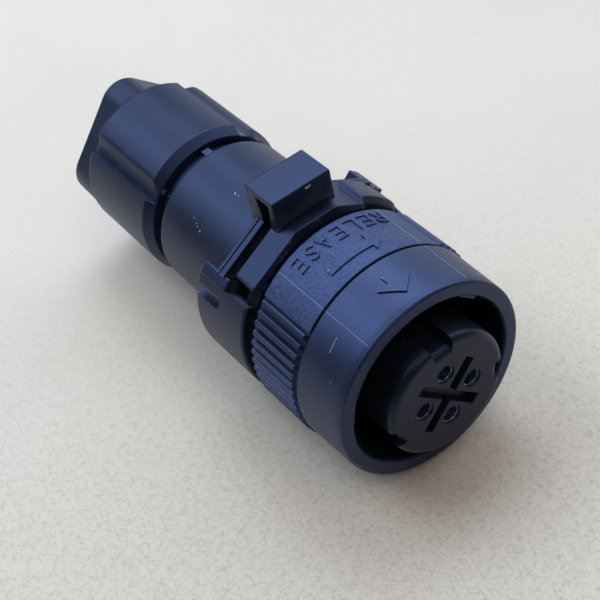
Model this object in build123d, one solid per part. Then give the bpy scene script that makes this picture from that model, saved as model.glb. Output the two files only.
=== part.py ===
from build123d import *

import os
from math import cos, radians, sin, sqrt, tan

# Bayonet cable plug with a latch collar and a cable gland, in millimetres.
# Each piece is drawn on the plug's own axis: X runs along it, with X = 0 at the coupling ring's
# front face and +X towards the mate. Angles are counted round the axis from the top towards +Y.
# At the end everything moves to the part's frame: origin on the surface that the plug lies on,
# under the middle of its length.

# Contacts
contact_count = 4
contact_circle_r = 4.72
contact_bore_r = 1.25
contact_bore_depth = 10.0
contact_wall = 0.6
contact_lead = 0.1
contact_slit = 0.4
contact_slit_length = 8.0
contact_collar_step = 0.45
contact_collar_length = 6.8
barrel_wall = 0.9
barrel_length = 9.0
wire_hole_r = 1.5
wire_hole_depth = 7.5
cavity_gap = 0.1
spring_sleeve_wall = 0.15
spring_sleeve_gap = 0.05
spring_sleeve_length = 9.0
grub_screw_r = 1.15
grub_screw_length = 2.2
grub_screw_gap = 0.1
grub_slot_width = 0.5
grub_slot_depth = 0.7
grub_from_barrel_end = 3.4

# Insert
insert_nose_r = 11.1
insert_nose_out = 4.0
insert_edge_round = 1.2
insert_front_wall = 1.0
insert_hole_lead = 0.2
insert_hole_chamfer = 0.25
insert_flange_height = 1.1
insert_flange_thickness = 2.4
insert_tail_length = 6.0
insert_tail_round = 0.3
insert_fit = 0.1
keyway_width = 4.2
keyway_depth = 1.8
side_notch_width = 3.6
side_notch_depth = 1.2
side_notch_angle = 102.0
cross_angle = 45.0
cross_arm_length = 6.7
cross_arm_width = 1.7
cross_depth = 1.6
o_ring_r = 0.8
o_ring_gap = 0.1
o_ring_from_flange = 1.5

# Parts that hold the insert and its contacts
seal_thickness = 1.8
seal_lip = 0.3
lock_ring_length = 1.9
face_gap = 0.1
retainer_thickness = 1.9
retainer_screw_r = 1.2
retainer_screw_gap = 0.1
retainer_screw_grip = 7.0
retainer_head_r = 1.9
retainer_head_height = 1.5
retainer_slot_width = 0.6
retainer_slot_depth = 0.7

# Shell
shell_wall = 1.7
mating_depth = 13.5
shell_flange_height = 0.5
shell_flange_thickness = 1.7
shell_tube_length = 41.6
shell_edge_round = 0.6
chamber_end_wall = 2.8
index_rib_width = 1.6
index_rib_length = 1.9
index_rib_height = 0.5

# Coupling ring
ring_length = 23.1
ring_wall = 2.95
ring_bore_gap = 0.4
ring_journal_gap = 0.25
ring_end_gap = 0.3
ring_front_length = 10.8
ring_front_draft = 0.25
ring_front_round = 0.6
ring_rear_round = 0.4
ring_mouth_chamfer = 0.4
ring_groove_width = 0.5
ring_groove_depth = 0.45
grip_recess = 0.35
grip_rib_height = 0.75
grip_rib_width = 1.4
grip_rib_crest = 0.45
grip_rib_margin = 0.45
grip_first_angle = 49.4
grip_ribs_per_side = 15
lug_count = 3
lug_first_angle = -78.5
lug_span = 15.0
lug_height = 0.8
lug_length = 3.0
lug_from_face = 1.2
stop_rib_span = 12.0
stop_rib_gap = 0.15
stop_gap_angle = 0.5
coupling_turn = 36.0

# Snap ring behind the coupling ring
snap_ring_width = 1.1
snap_ring_height = 2.1
snap_groove_depth = 0.8
snap_groove_gap = 0.1
snap_ring_opening = 24.0

# Latch collar
collar_behind_ring = 2.1
collar_fit = 0.05
sleeve_wall = 1.4
sleeve_length = 8.0
skirt_proud = 0.35
skirt_wall = 1.8
skirt_length = 13.3
skirt_edge_round = 0.5
skirt_top_angle = 58.0
skirt_bite_angle = 2.0
skirt_flat_width = 5.0
collar_front_wall = 1.4
latch_lift = 0.5
saddle_top_rise = 0.15
saddle_side_drop = 0.3
saddle_side_angle = 30.0
rail_behind_collar = 6.2
rail_width = 2.1
rail_step_width = 1.0
rail_step_height = 0.5
rail_bite_angle = 1.5
slot_width = 1.9
slot_end_angle = 21.0
paddle_reach = 0.8
paddle_left_angle = 48.5
paddle_right_angle = 33.0
shoulder_rise = 0.55
shoulder_setback = 0.8
tab_inner_angle = 50.5
tab_outer_angle = 60.0
tab_length = 6.8
tab_rise = 1.1
tab_from_rear = 1.2
tab_round = 0.8
window_strip_width = 1.2
window_strip_drop = 0.6
scoop_angle = 69.0
scoop_width = 2.3
scoop_length = 6.4
bridge_width = 11.5
bridge_rear_wall = 2.9
bridge_front_wall = 1.2
bridge_front_drop = 1.95
bridge_top_wall = 1.1
bridge_rise = 5.0
bridge_tail = 1.6
bridge_skirt = 0.8
bridge_round = 0.45

# Cable gland
spigot_step = 1.8
spigot_wall = 2.1
cable_r = 5.5
cable_seal_length = 11.0
cable_seal_gap = 0.2
seal_seat = 1.7
cage_base_length = 2.3
cage_length = 8.2
cage_taper = 1.4
cage_slots = 8
cage_slot_width = 1.0
cage_bore_gap = 0.3
cage_stand_out = 0.2
washer_thickness = 1.0
washer_gap = 0.2
washer_bore_gap = 0.5
washer_rim = 0.9
nut_o_ring_r = 0.3
nut_gap = 2.7
nut_thread_gap = 0.25
nut_wall = 2.25
nut_bevel_length = 2.0
nut_bevel_drop = 1.1
nut_bevel_round = 0.6
nut_front_round = 0.3
nut_floor = 0.4
nut_end_round = 0.8
nut_pocket_gap = 0.3
nut_hub_length = 6.5
nut_hub_inset = 2.4
nut_hub_corner = 6.6
nut_hub_taper = 1.0
nut_hub_round = 0.7
nut_cable_gap = 1.7
nut_mouth_round = 0.8
nut_lobes = 4
nut_groove_angle = -48.5
nut_groove_width = 4.2
nut_groove_depth = 1.0
nut_groove_slope = 2.6

# Overlap that makes sure neighbouring features fuse or cut cleanly
weld = 0.4

# Radii, from the inside out
contact_r = contact_bore_r + contact_wall
barrel_r = wire_hole_r + barrel_wall
spring_sleeve_in_r = contact_r + spring_sleeve_gap
spring_sleeve_out_r = spring_sleeve_in_r + spring_sleeve_wall
cavity_r = spring_sleeve_out_r + cavity_gap
contact_collar_r = cavity_r + contact_collar_step
rear_cavity_r = contact_collar_r + cavity_gap
insert_flange_r = insert_nose_r + insert_flange_height
shell_bore_r = insert_nose_r + insert_fit
shell_seat_r = insert_flange_r + insert_fit
shell_r = shell_seat_r + shell_wall
shell_flange_r = shell_r + shell_flange_height
ring_journal_r = shell_r + ring_journal_gap
ring_bore_r = shell_flange_r + ring_bore_gap
ring_r = ring_bore_r + ring_wall
sleeve_r = shell_r + collar_fit + sleeve_wall
latch_in_r = sleeve_r + latch_lift
skirt_r = ring_r + skirt_proud
skirt_in_r = skirt_r - skirt_wall
bridge_top_z = skirt_r + bridge_rise
spigot_r = shell_r - spigot_step
spigot_bore_r = spigot_r - spigot_wall
cable_seal_r = spigot_bore_r - cable_seal_gap
seal_seat_r = spigot_bore_r - seal_seat
washer_r = cable_seal_r + washer_rim
nut_bore_r = spigot_r + nut_thread_gap
nut_r = nut_bore_r + nut_wall
nut_hole_r = cable_r + nut_cable_gap

# Stations along the axis, from the front to the rear
nose_x = insert_nose_out
cavity_x = nose_x - insert_front_wall
contact_tip_x = cavity_x - face_gap
shell_front_x = -mating_depth
shell_flange_x = shell_front_x - shell_flange_thickness
ring_shoulder_x = shell_flange_x - ring_end_gap
lock_ring_front_x = shell_front_x - face_gap
flange_front_x = lock_ring_front_x - lock_ring_length - face_gap
flange_rear_x = flange_front_x - insert_flange_thickness
insert_rear_x = flange_rear_x - insert_tail_length
retainer_front_x = insert_rear_x - face_gap
retainer_rear_x = retainer_front_x - retainer_thickness
contact_collar_x = insert_rear_x + contact_collar_length
barrel_end_x = insert_rear_x - barrel_length
ring_rear_x = -ring_length
snap_front_x = ring_rear_x - ring_end_gap
snap_rear_x = snap_front_x - snap_ring_width
collar_front_x = ring_rear_x - collar_behind_ring
skirt_rear_x = collar_front_x - skirt_length
rail_front_x = collar_front_x - rail_behind_collar
rail_rear_x = rail_front_x - rail_width
paddle_rear_x = rail_front_x + slot_width
paddle_front_x = collar_front_x + paddle_reach
shell_rear_x = shell_flange_x - shell_tube_length
seat_x = shell_rear_x - chamber_end_wall
cable_seal_front_x = seat_x - cable_seal_gap
cable_seal_rear_x = cable_seal_front_x - cable_seal_length
cage_front_x = cable_seal_rear_x - washer_gap
cage_rear_x = cage_front_x - cage_length
spigot_rear_x = cage_rear_x + cage_stand_out
washer_front_x = cage_rear_x - washer_gap
washer_rear_x = washer_front_x - washer_thickness
pocket_rear_x = washer_rear_x - washer_gap
nut_front_x = shell_rear_x - nut_gap
hub_x = pocket_rear_x - nut_floor
nut_rear_x = hub_x - nut_hub_length

# Where the plug's axis lies in the part's frame
axis_height = sqrt(skirt_r ** 2 - (skirt_flat_width / 2) ** 2)
middle_x = (nose_x + nut_rear_x) / 2
contact_angles = [360 * k / contact_count for k in range(contact_count)]


def section(*corners):
    """A face beside the axis from corners (x, radius) or (x, radius, corner round)."""
    points = [corner[:2] for corner in corners]
    rounds = [corner[2] if len(corner) > 2 else 0 for corner in corners]
    return make_face(FilletPolyline(*points, radius=rounds, close=True))


def turned(*corners):
    """A solid turned all round the axis from a section's corners."""
    return revolve(section(*corners), Axis.X)


def swept(angle_from, angle_to, *corners):
    """A solid turned from one angle to another from a section's corners."""
    return Rot(90 - angle_to, 0, 0) * revolve(section(*corners), Axis.X, angle_to - angle_from)


def tube(x_rear, x_front, r_in, r_out):
    """A plain tube about the axis."""
    return turned((x_rear, r_in), (x_rear, r_out), (x_front, r_out), (x_front, r_in))


def sector(x_rear, x_front, r_in, r_out, angle_from, angle_to):
    """A piece of a tube between two angles round the axis."""
    return swept(angle_from, angle_to, (x_rear, r_in), (x_rear, r_out), (x_front, r_out), (x_front, r_in))


def rod(x_rear, x_front, r):
    """A plain cylinder on the axis."""
    return Location((x_rear, 0, 0), (0, 90, 0)) * Cylinder(
        r, x_front - x_rear, align=(Align.CENTER, Align.CENTER, Align.MIN))


def turn_to(angle, shape):
    """Turn a shape drawn at the top round the axis to an angle."""
    return Rot(-angle, 0, 0) * shape


def bar(x_rear, x_front, width, z_low, z_high):
    """A block above the axis, centred on the top."""
    return Location(((x_rear + x_front) / 2, 0, (z_low + z_high) / 2)) * Box(
        x_front - x_rear, width, z_high - z_low)


def along_axis(x_rear, x_front, *points):
    """A prism along the axis from a closed outline of (y, z) points."""
    outline = Polyline(*[(x_rear, y, z) for y, z in points], close=True)
    return extrude(make_face(outline), x_front - x_rear, dir=(1, 0, 0))


def across(width, *points):
    """A prism across the plug, centred, from a closed outline of (x, z) points."""
    outline = Polyline(*[(x, -width / 2, z) for x, z in points], close=True)
    return extrude(make_face(outline), width, dir=(0, 1, 0))


def torus(x, r_middle, r_section):
    """A rubber ring about the axis."""
    return Location((x, 0, 0), (0, 90, 0)) * Torus(r_middle, r_section)


def at_contact(angle, shape):
    """Move a shape drawn on the axis to one contact's place."""
    return turn_to(angle, Pos(0, 0, contact_circle_r) * shape)


def coupling_ring():
    """Ring with grip ribs, a groove behind its front band, inner lugs and a stop rib."""
    groove_front_x = -ring_front_length
    groove_rear_x = groove_front_x - ring_groove_width
    ring = turned(
        (ring_rear_x, ring_journal_r),
        (ring_rear_x, ring_r, ring_rear_round),
        (groove_rear_x, ring_r),
        (groove_rear_x, ring_r - ring_groove_depth),
        (groove_front_x, ring_r - ring_groove_depth),
        (groove_front_x, ring_r),
        (0, ring_r - ring_front_draft, ring_front_round),
        (0, ring_bore_r + ring_mouth_chamfer),
        (-ring_mouth_chamfer, ring_bore_r),
        (ring_shoulder_x, ring_bore_r),
        (ring_shoulder_x, ring_journal_r))
    floor_r = ring_r - grip_recess
    rib_top = floor_r + grip_rib_height
    foot = grip_rib_width / 2
    crest = grip_rib_crest / 2
    rib = along_axis(ring_rear_x + grip_rib_margin, groove_rear_x - grip_rib_margin / 2,
                     (-foot, floor_r - weld), (-foot, floor_r), (-crest, rib_top),
                     (crest, rib_top), (foot, floor_r), (foot, floor_r - weld))
    step = (180 - 2 * grip_first_angle) / (grip_ribs_per_side - 1)
    angles = [grip_first_angle + step * k for k in range(grip_ribs_per_side)]
    ribs = [turn_to(side * angle, rib) for side in (-1, 1) for angle in angles]
    recess_angle = grip_first_angle - step / 2
    recess = sector(ring_rear_x - weld, groove_rear_x, floor_r, rib_top, recess_angle, 180 - recess_angle)
    ring -= [recess, mirror(recess, about=Plane.XZ)]
    lug_front_x = -lug_from_face
    lugs = [sector(lug_front_x - lug_length, lug_front_x, ring_bore_r - lug_height, ring_bore_r + weld,
                   centre - lug_span / 2, centre + lug_span / 2)
            for centre in [lug_first_angle + 360 * k / lug_count for k in range(lug_count)]]
    stop = sector(ring_shoulder_x - weld, shell_front_x, shell_r + stop_rib_gap, ring_bore_r + weld,
                  180 - stop_rib_span / 2, 180 + stop_rib_span / 2)
    return ring + ribs + lugs + stop


def rear_shell():
    """Body tube: front flange with the stop's arc, journal, snap groove, chamber and spigot."""
    shell = turned(
        (shell_front_x, shell_seat_r),
        (shell_front_x, shell_flange_r),
        (shell_flange_x, shell_flange_r),
        (shell_flange_x, shell_r),
        (snap_front_x + snap_groove_gap, shell_r),
        (snap_front_x + snap_groove_gap, shell_r - snap_groove_depth),
        (snap_rear_x - snap_groove_gap, shell_r - snap_groove_depth),
        (snap_rear_x - snap_groove_gap, shell_r),
        (shell_rear_x, shell_r, shell_edge_round),
        (shell_rear_x, spigot_r),
        (spigot_rear_x, spigot_r, shell_edge_round),
        (spigot_rear_x, spigot_bore_r),
        (seat_x, spigot_bore_r),
        (seat_x, seal_seat_r),
        (shell_rear_x + chamber_end_wall, seal_seat_r),
        (shell_rear_x + chamber_end_wall, shell_bore_r),
        (flange_rear_x, shell_bore_r),
        (flange_rear_x, shell_seat_r))
    stop_from = 180 - stop_rib_span / 2 - stop_gap_angle
    stop_to = 180 + stop_rib_span / 2 + coupling_turn + stop_gap_angle
    arc = sector(shell_flange_x, shell_front_x + weld, shell_r, shell_flange_r + weld, stop_from, stop_to)
    index_rib = bar(shell_rear_x - index_rib_length, shell_rear_x + weld, index_rib_width,
                    shell_r - shell_edge_round - index_rib_height, shell_r - shell_edge_round)
    return shell - arc + index_rib


def contact_insert():
    """Insulator: nose with keyways and a cross recess, cavities for the contacts, seal groove."""
    groove_front_x = flange_rear_x - o_ring_from_flange
    groove_rear_x = groove_front_x - 2 * (o_ring_r + o_ring_gap)
    groove_r = insert_nose_r - 2 * o_ring_r - o_ring_gap + insert_fit
    body = turned(
        (nose_x, 0),
        (nose_x, insert_nose_r, insert_edge_round),
        (flange_front_x, insert_nose_r),
        (flange_front_x, insert_flange_r),
        (flange_rear_x, insert_flange_r),
        (flange_rear_x, insert_nose_r),
        (groove_front_x, insert_nose_r),
        (groove_front_x, groove_r),
        (groove_rear_x, groove_r),
        (groove_rear_x, insert_nose_r),
        (insert_rear_x, insert_nose_r, insert_tail_round),
        (insert_rear_x, 0))
    keyway_rear_x = shell_front_x + seal_thickness
    cuts = [bar(keyway_rear_x, nose_x + weld, keyway_width, insert_nose_r - keyway_depth,
                insert_nose_r + weld)]
    notch = bar(keyway_rear_x, nose_x + weld, side_notch_width, insert_nose_r - side_notch_depth,
                insert_nose_r + weld)
    cuts += [turn_to(side * side_notch_angle, notch) for side in (-1, 1)]
    arm = Pos(nose_x - cross_depth / 2 + weld / 2, 0, 0) * Box(
        cross_depth + weld, cross_arm_width, 2 * cross_arm_length)
    cuts += [turn_to(angle, arm) for angle in (-cross_angle, cross_angle)]
    hole_r = contact_bore_r + insert_hole_lead
    cavity = turned(
        (nose_x + weld, 0),
        (nose_x + weld, hole_r + insert_hole_chamfer),
        (nose_x, hole_r + insert_hole_chamfer),
        (nose_x - insert_hole_chamfer, hole_r),
        (cavity_x, hole_r),
        (cavity_x, cavity_r),
        (contact_collar_x + face_gap, cavity_r),
        (contact_collar_x + face_gap, rear_cavity_r),
        (insert_rear_x - weld, rear_cavity_r),
        (insert_rear_x - weld, 0))
    cuts += [at_contact(angle, cavity) for angle in contact_angles]
    cuts.append(rod(insert_rear_x - weld, retainer_front_x + retainer_screw_grip,
                    retainer_screw_r + retainer_screw_gap))
    return body - cuts


def socket_contact(angle):
    """Turned socket with a slit bore, a collar and a wire barrel with a screw hole."""
    contact = turned(
        (contact_tip_x, contact_bore_r + contact_lead),
        (contact_tip_x, contact_r),
        (contact_collar_x, contact_r),
        (contact_collar_x, contact_collar_r),
        (insert_rear_x, contact_collar_r),
        (insert_rear_x, barrel_r),
        (barrel_end_x, barrel_r),
        (barrel_end_x, wire_hole_r),
        (barrel_end_x + wire_hole_depth, wire_hole_r),
        (barrel_end_x + wire_hole_depth, 0),
        (contact_tip_x - contact_bore_depth, 0),
        (contact_tip_x - contact_bore_depth, contact_bore_r),
        (contact_tip_x - contact_lead, contact_bore_r))
    slit = bar(contact_tip_x - contact_slit_length, contact_tip_x + weld, contact_slit,
               -contact_r - weld, contact_r + weld)
    screw_hole = Pos(barrel_end_x + grub_from_barrel_end, 0, barrel_r / 2 + weld) * Cylinder(
        grub_screw_r + grub_screw_gap, barrel_r + 2 * weld)
    return at_contact(angle, contact - slit - screw_hole)


def contact_sleeves():
    """Four spring sleeves, one round each slit socket."""
    sleeve = tube(contact_tip_x - spring_sleeve_length, contact_tip_x - face_gap,
                  spring_sleeve_in_r, spring_sleeve_out_r)
    return [at_contact(angle, sleeve) for angle in contact_angles]


def terminal_screws():
    """Four slotted grub screws, one in each wire barrel."""
    low = wire_hole_r + grub_screw_gap
    screw = Pos(0, 0, low + grub_screw_length / 2) * Cylinder(grub_screw_r, grub_screw_length)
    top = low + grub_screw_length
    slot = Pos(0, 0, top - grub_slot_depth / 2) * Box(
        2 * (grub_screw_r + weld), grub_slot_width, grub_slot_depth)
    placed = Pos(barrel_end_x + grub_from_barrel_end, 0, 0) * (screw - slot)
    return [at_contact(angle, placed) for angle in contact_angles]


def contact_retainer():
    """Plate that keeps the contacts in the insert."""
    plate = tube(retainer_rear_x, retainer_front_x, retainer_screw_r + retainer_screw_gap, insert_nose_r)
    hole = rod(retainer_rear_x - weld, retainer_front_x + weld, barrel_r + cavity_gap)
    return plate - [at_contact(angle, hole) for angle in contact_angles]


def retainer_screw():
    """Slotted screw through the middle of the retainer plate into the insert."""
    head_front_x = retainer_rear_x - face_gap
    head_rear_x = head_front_x - retainer_head_height
    screw = turned(
        (head_rear_x, 0),
        (head_rear_x, retainer_head_r),
        (head_front_x, retainer_head_r),
        (head_front_x, retainer_screw_r),
        (retainer_front_x + retainer_screw_grip - retainer_screw_gap, retainer_screw_r),
        (retainer_front_x + retainer_screw_grip - retainer_screw_gap, 0))
    slot = bar(head_rear_x - weld, head_rear_x + retainer_slot_depth, retainer_slot_width,
               -retainer_head_r - weld, retainer_head_r + weld)
    return screw - slot


def insert_lock_ring():
    """Threaded ring that holds the insert's flange in the shell."""
    return tube(lock_ring_front_x - lock_ring_length, lock_ring_front_x, insert_nose_r + insert_fit,
                insert_flange_r)


def insert_o_ring():
    """Seal between insert and shell."""
    centre_x = flange_rear_x - o_ring_from_flange - o_ring_r - o_ring_gap
    return torus(centre_x, insert_nose_r + insert_fit - o_ring_r - o_ring_gap / 2,
                 o_ring_r - o_ring_gap / 2)


def interface_seal():
    """Flat seal with a raised lip at the bottom of the mating gap."""
    seal_rear_x = shell_front_x + face_gap
    return turned(
        (seal_rear_x, insert_nose_r + insert_fit),
        (seal_rear_x, shell_r),
        (seal_rear_x + seal_thickness / 2, shell_r),
        (seal_rear_x + seal_thickness, shell_r - seal_thickness / 2, seal_lip),
        (seal_rear_x + seal_thickness, insert_nose_r + insert_fit))


def ring_retainer():
    """Open snap ring in the shell's groove, behind the coupling ring."""
    r_in = shell_r - snap_groove_depth + snap_groove_gap
    return sector(snap_rear_x, snap_front_x, r_in, r_in + snap_ring_height,
                  180 + snap_ring_opening / 2, 540 - snap_ring_opening / 2)


def saddle(lowered):
    """Prism with the collar's top facet and two side facets, lowered by an amount."""
    top = skirt_r + saddle_top_rise - lowered
    side = skirt_r - saddle_side_drop - lowered
    slope = tan(radians(saddle_side_angle))
    peak = side / cos(radians(saddle_side_angle))
    corner_y = (peak - top) / slope
    foot_y = 2 * skirt_r
    foot_z = peak - foot_y * slope
    return along_axis(rail_rear_x - weld, paddle_front_x + weld,
                      (-foot_y, foot_z), (-corner_y, top), (corner_y, top), (foot_y, foot_z),
                      (foot_y, foot_z - skirt_r), (-foot_y, foot_z - skirt_r))


def bridge():
    """Hollow bridge on the latch, open to both sides, with a slot that narrows downwards."""
    rear_x = rail_rear_x - bridge_tail
    front_x = paddle_rear_x + bridge_front_drop
    low = sleeve_r - bridge_skirt
    block = fillet(bar(rear_x, front_x, bridge_width, low, bridge_top_z).edges(), bridge_round)
    roof = bridge_top_z - bridge_top_wall
    slot = across(bridge_width + 2 * weld,
                  (rail_front_x, low - weld), (rail_front_x, latch_in_r),
                  (rear_x + bridge_rear_wall, roof), (front_x - bridge_front_wall, roof),
                  (paddle_rear_x, latch_in_r), (paddle_rear_x, low - weld))
    return block - slot


def latch():
    """Rail, front paddle with its raised shoulder, window strip and bridge, clear of the sleeve."""
    root_r = latch_in_r - weld
    beyond = skirt_r + skirt_wall
    rail_end = tab_inner_angle + rail_bite_angle
    skirt_end = skirt_top_angle + skirt_bite_angle
    rail_step_x = rail_rear_x + rail_step_width
    rear_strip = sector(rail_rear_x, rail_step_x, root_r, beyond, -rail_end, rail_end)
    front_strip = sector(rail_step_x, rail_front_x, root_r, beyond, -rail_end, rail_end)
    paddle = sector(paddle_rear_x, paddle_front_x, root_r, beyond, -paddle_left_angle, paddle_right_angle)
    slot_end = sector(rail_front_x, paddle_rear_x, root_r, beyond, slot_end_angle, paddle_right_angle)
    shoulder = sector(rail_front_x, collar_front_x - shoulder_setback, root_r, skirt_r + shoulder_rise,
                      paddle_right_angle, skirt_end)
    strip = sector(collar_front_x - window_strip_width, collar_front_x, root_r, skirt_r - window_strip_drop,
                   -skirt_end, -paddle_left_angle)
    whole = (rear_strip & saddle(rail_step_height)) + ((front_strip + [slot_end, paddle]) & saddle(0))
    whole += [shoulder, strip, bridge()]
    return whole - rod(rail_rear_x - weld, paddle_front_x + weld, latch_in_r)


def lock_collar():
    """Latch collar: skirt with scoops and tabs, rail, slot, front paddle and hollow bridge."""
    skirt_to = 360 - skirt_top_angle
    beyond = skirt_r + skirt_wall
    sleeve = tube(collar_front_x - sleeve_length, collar_front_x, shell_r + collar_fit, sleeve_r)
    wall_rear_x = collar_front_x - collar_front_wall
    rim = swept(skirt_top_angle, skirt_to,
                (skirt_rear_x, skirt_in_r), (skirt_rear_x, skirt_r, skirt_edge_round),
                (collar_front_x, skirt_r, skirt_edge_round), (collar_front_x, sleeve_r - weld),
                (wall_rear_x, sleeve_r - weld), (wall_rear_x, skirt_in_r))
    tab_rear_x = skirt_rear_x + tab_from_rear
    tab = turn_to((tab_inner_angle + tab_outer_angle) / 2, fillet(
        bar(tab_rear_x, tab_rear_x + tab_length,
            2 * skirt_r * sin(radians(tab_outer_angle - tab_inner_angle) / 2),
            skirt_in_r, skirt_r + tab_rise).edges().filter_by(Axis.Y).sort_by(Axis.Z)[-2:], tab_round))
    collar = sleeve + [rim, tab, mirror(tab, about=Plane.XZ), latch()]
    scoop_end_x = skirt_rear_x + scoop_length - scoop_width / 2
    scoop = bar(skirt_rear_x - weld, scoop_end_x, scoop_width, skirt_in_r - weld, beyond)
    scoop += Pos(scoop_end_x, 0, skirt_r) * Cylinder(scoop_width / 2, 2 * (skirt_wall + weld))
    resting_flat = bar(skirt_rear_x - weld, collar_front_x + weld, 2 * skirt_r, axis_height, beyond)
    return collar - [turn_to(scoop_angle, scoop), turn_to(-scoop_angle, scoop), turn_to(180, resting_flat)]


def gland_nut():
    """Gland nut: bevelled front, four wide lobes between grooves, and a rounded square hub."""
    drum = turned(
        (nut_front_x, nut_bore_r),
        (nut_front_x, nut_r - nut_bevel_drop, nut_front_round),
        (nut_front_x - nut_bevel_length, nut_r, nut_bevel_round),
        (hub_x, nut_r, nut_end_round),
        (hub_x, nut_bore_r))
    hub_side = 2 * (nut_r - nut_hub_inset)
    square = Rot(0, 0, nut_groove_angle) * RectangleRounded(
        hub_side, hub_side, nut_hub_corner)
    hub = extrude(Plane((hub_x + weld, 0, 0), x_dir=(0, 1, 0), z_dir=(-1, 0, 0)) * square,
                  nut_hub_length + weld, taper=nut_hub_taper)
    hub = fillet(hub.faces().sort_by(Axis.X)[0].edges(), nut_hub_round)
    bore = turned(
        (hub_x + 2 * weld, 0),
        (hub_x + 2 * weld, nut_bore_r),
        (spigot_rear_x - nut_pocket_gap, nut_bore_r),
        (spigot_rear_x - nut_pocket_gap, washer_r + nut_pocket_gap),
        (pocket_rear_x, washer_r + nut_pocket_gap),
        (pocket_rear_x, nut_hole_r),
        (nut_rear_x + nut_mouth_round, nut_hole_r),
        (nut_rear_x, nut_hole_r + nut_mouth_round),
        (nut_rear_x - weld, nut_hole_r + nut_mouth_round),
        (nut_rear_x - weld, 0))
    half = nut_groove_width / 2
    floor = nut_r - nut_groove_depth
    groove = along_axis(hub_x - weld, nut_front_x,
                        (-half, nut_r + weld), (-half, floor), (half - nut_groove_slope, floor),
                        (half, nut_r), (half, nut_r + weld))
    grooves = [turn_to(nut_groove_angle + 360 * k / nut_lobes, groove) for k in range(nut_lobes)]
    return drum + hub - bore - grooves


def nut_o_ring():
    """Seal on the root of the spigot."""
    return torus(shell_rear_x - nut_o_ring_r - face_gap, spigot_r + nut_o_ring_r + face_gap / 2,
                 nut_o_ring_r)


def cable_seal():
    """Rubber bush round the cable."""
    return tube(cable_seal_rear_x, cable_seal_front_x, cable_r, cable_seal_r)


def clamp_cage():
    """Clamp with a base ring and slotted fingers that taper to the rear."""
    bore_r = cable_r + cage_bore_gap
    base_rear_x = cage_front_x - cage_base_length
    cage = turned(
        (cage_front_x, bore_r),
        (cage_front_x, cable_seal_r),
        (base_rear_x, cable_seal_r),
        (cage_rear_x, cable_seal_r - cage_taper),
        (cage_rear_x, bore_r))
    slot = bar(cage_rear_x - weld, base_rear_x, cage_slot_width, 0, cable_seal_r + weld)
    return cage - [turn_to(360 * k / cage_slots, slot) for k in range(cage_slots)]


def thrust_washer():
    """Washer between the nut and the clamp's fingers."""
    return tube(washer_rear_x, washer_front_x, cable_r + washer_bore_gap, washer_r)


def nodes():
    """Every node's solids by name, still on the plug's own axis."""
    made = {
        "coupling_ring": coupling_ring(),
        "lock_collar": lock_collar(),
        "rear_shell": rear_shell(),
        "contact_insert": contact_insert(),
        "interface_seal": interface_seal(),
        "insert_lock_ring": insert_lock_ring(),
        "insert_o_ring": insert_o_ring(),
        "contact_retainer": contact_retainer(),
        "retainer_screw": retainer_screw(),
        "contact_sleeves": contact_sleeves(),
        "terminal_screws": terminal_screws(),
        "ring_retainer": ring_retainer(),
        "gland_nut": gland_nut(),
        "nut_o_ring": nut_o_ring(),
        "cable_seal": cable_seal(),
        "clamp_cage": clamp_cage(),
        "thrust_washer": thrust_washer(),
    }
    for number, angle in enumerate(contact_angles, start=1):
        made[f"socket_contact_{number}"] = socket_contact(angle)
    return made


os.makedirs("parts", exist_ok=True)
to_part_frame = Pos(-middle_x, 0, axis_height)
for name, made in nodes().items():
    solids = [solid for shape in (made if isinstance(made, list) else [made]) for solid in shape.solids()]
    placed = [to_part_frame * solid for solid in solids]
    export_step(placed[0] if len(placed) == 1 else Compound(children=placed), f"parts/{name}.step")
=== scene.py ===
import logging
from dataclasses import dataclass, field
from enum import Enum
from math import cos, pi, radians, sin, sqrt
from typing import Any, ClassVar, Sequence

import bmesh
import bpy
import numpy as np
from mathutils import Matrix, Vector


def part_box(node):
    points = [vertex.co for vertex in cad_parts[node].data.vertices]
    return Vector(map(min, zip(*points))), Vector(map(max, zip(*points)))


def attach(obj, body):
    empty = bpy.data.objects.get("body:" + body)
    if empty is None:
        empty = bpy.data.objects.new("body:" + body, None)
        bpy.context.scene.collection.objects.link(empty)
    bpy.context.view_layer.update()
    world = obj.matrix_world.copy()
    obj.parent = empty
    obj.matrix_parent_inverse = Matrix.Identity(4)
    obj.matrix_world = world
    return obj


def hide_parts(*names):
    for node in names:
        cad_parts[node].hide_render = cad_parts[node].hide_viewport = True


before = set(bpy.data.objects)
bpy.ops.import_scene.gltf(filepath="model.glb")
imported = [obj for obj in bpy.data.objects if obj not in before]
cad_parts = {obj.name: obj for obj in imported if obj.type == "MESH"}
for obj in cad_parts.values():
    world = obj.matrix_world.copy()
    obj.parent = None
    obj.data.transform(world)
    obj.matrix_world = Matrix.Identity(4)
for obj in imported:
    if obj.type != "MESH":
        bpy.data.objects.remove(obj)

log = logging.getLogger("plug")
MM = 0.001
TINY = 1e-9

# An arc's points, and how far past its ends the points lie that keep the flats beside it flat.
ARC_STEPS = 5
GUARD_MM = 0.15
GUARD_SHARE = 0.25

# Sizes that more than one sub-assembly uses, mm.
TUBE_RADIUS = 14.0
BRIDGE_FRONT = -27.55
CONTACT_CIRCLE = 4.72
CONTACT_COUNT = 4

Array = np.ndarray
Range = tuple[float, float]
Colour = tuple[float, float, float, float]
Tint = tuple[float, float, float]
Corners = Sequence[tuple[Any, ...]]
Polyline = Sequence[tuple[float, float]]


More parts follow.
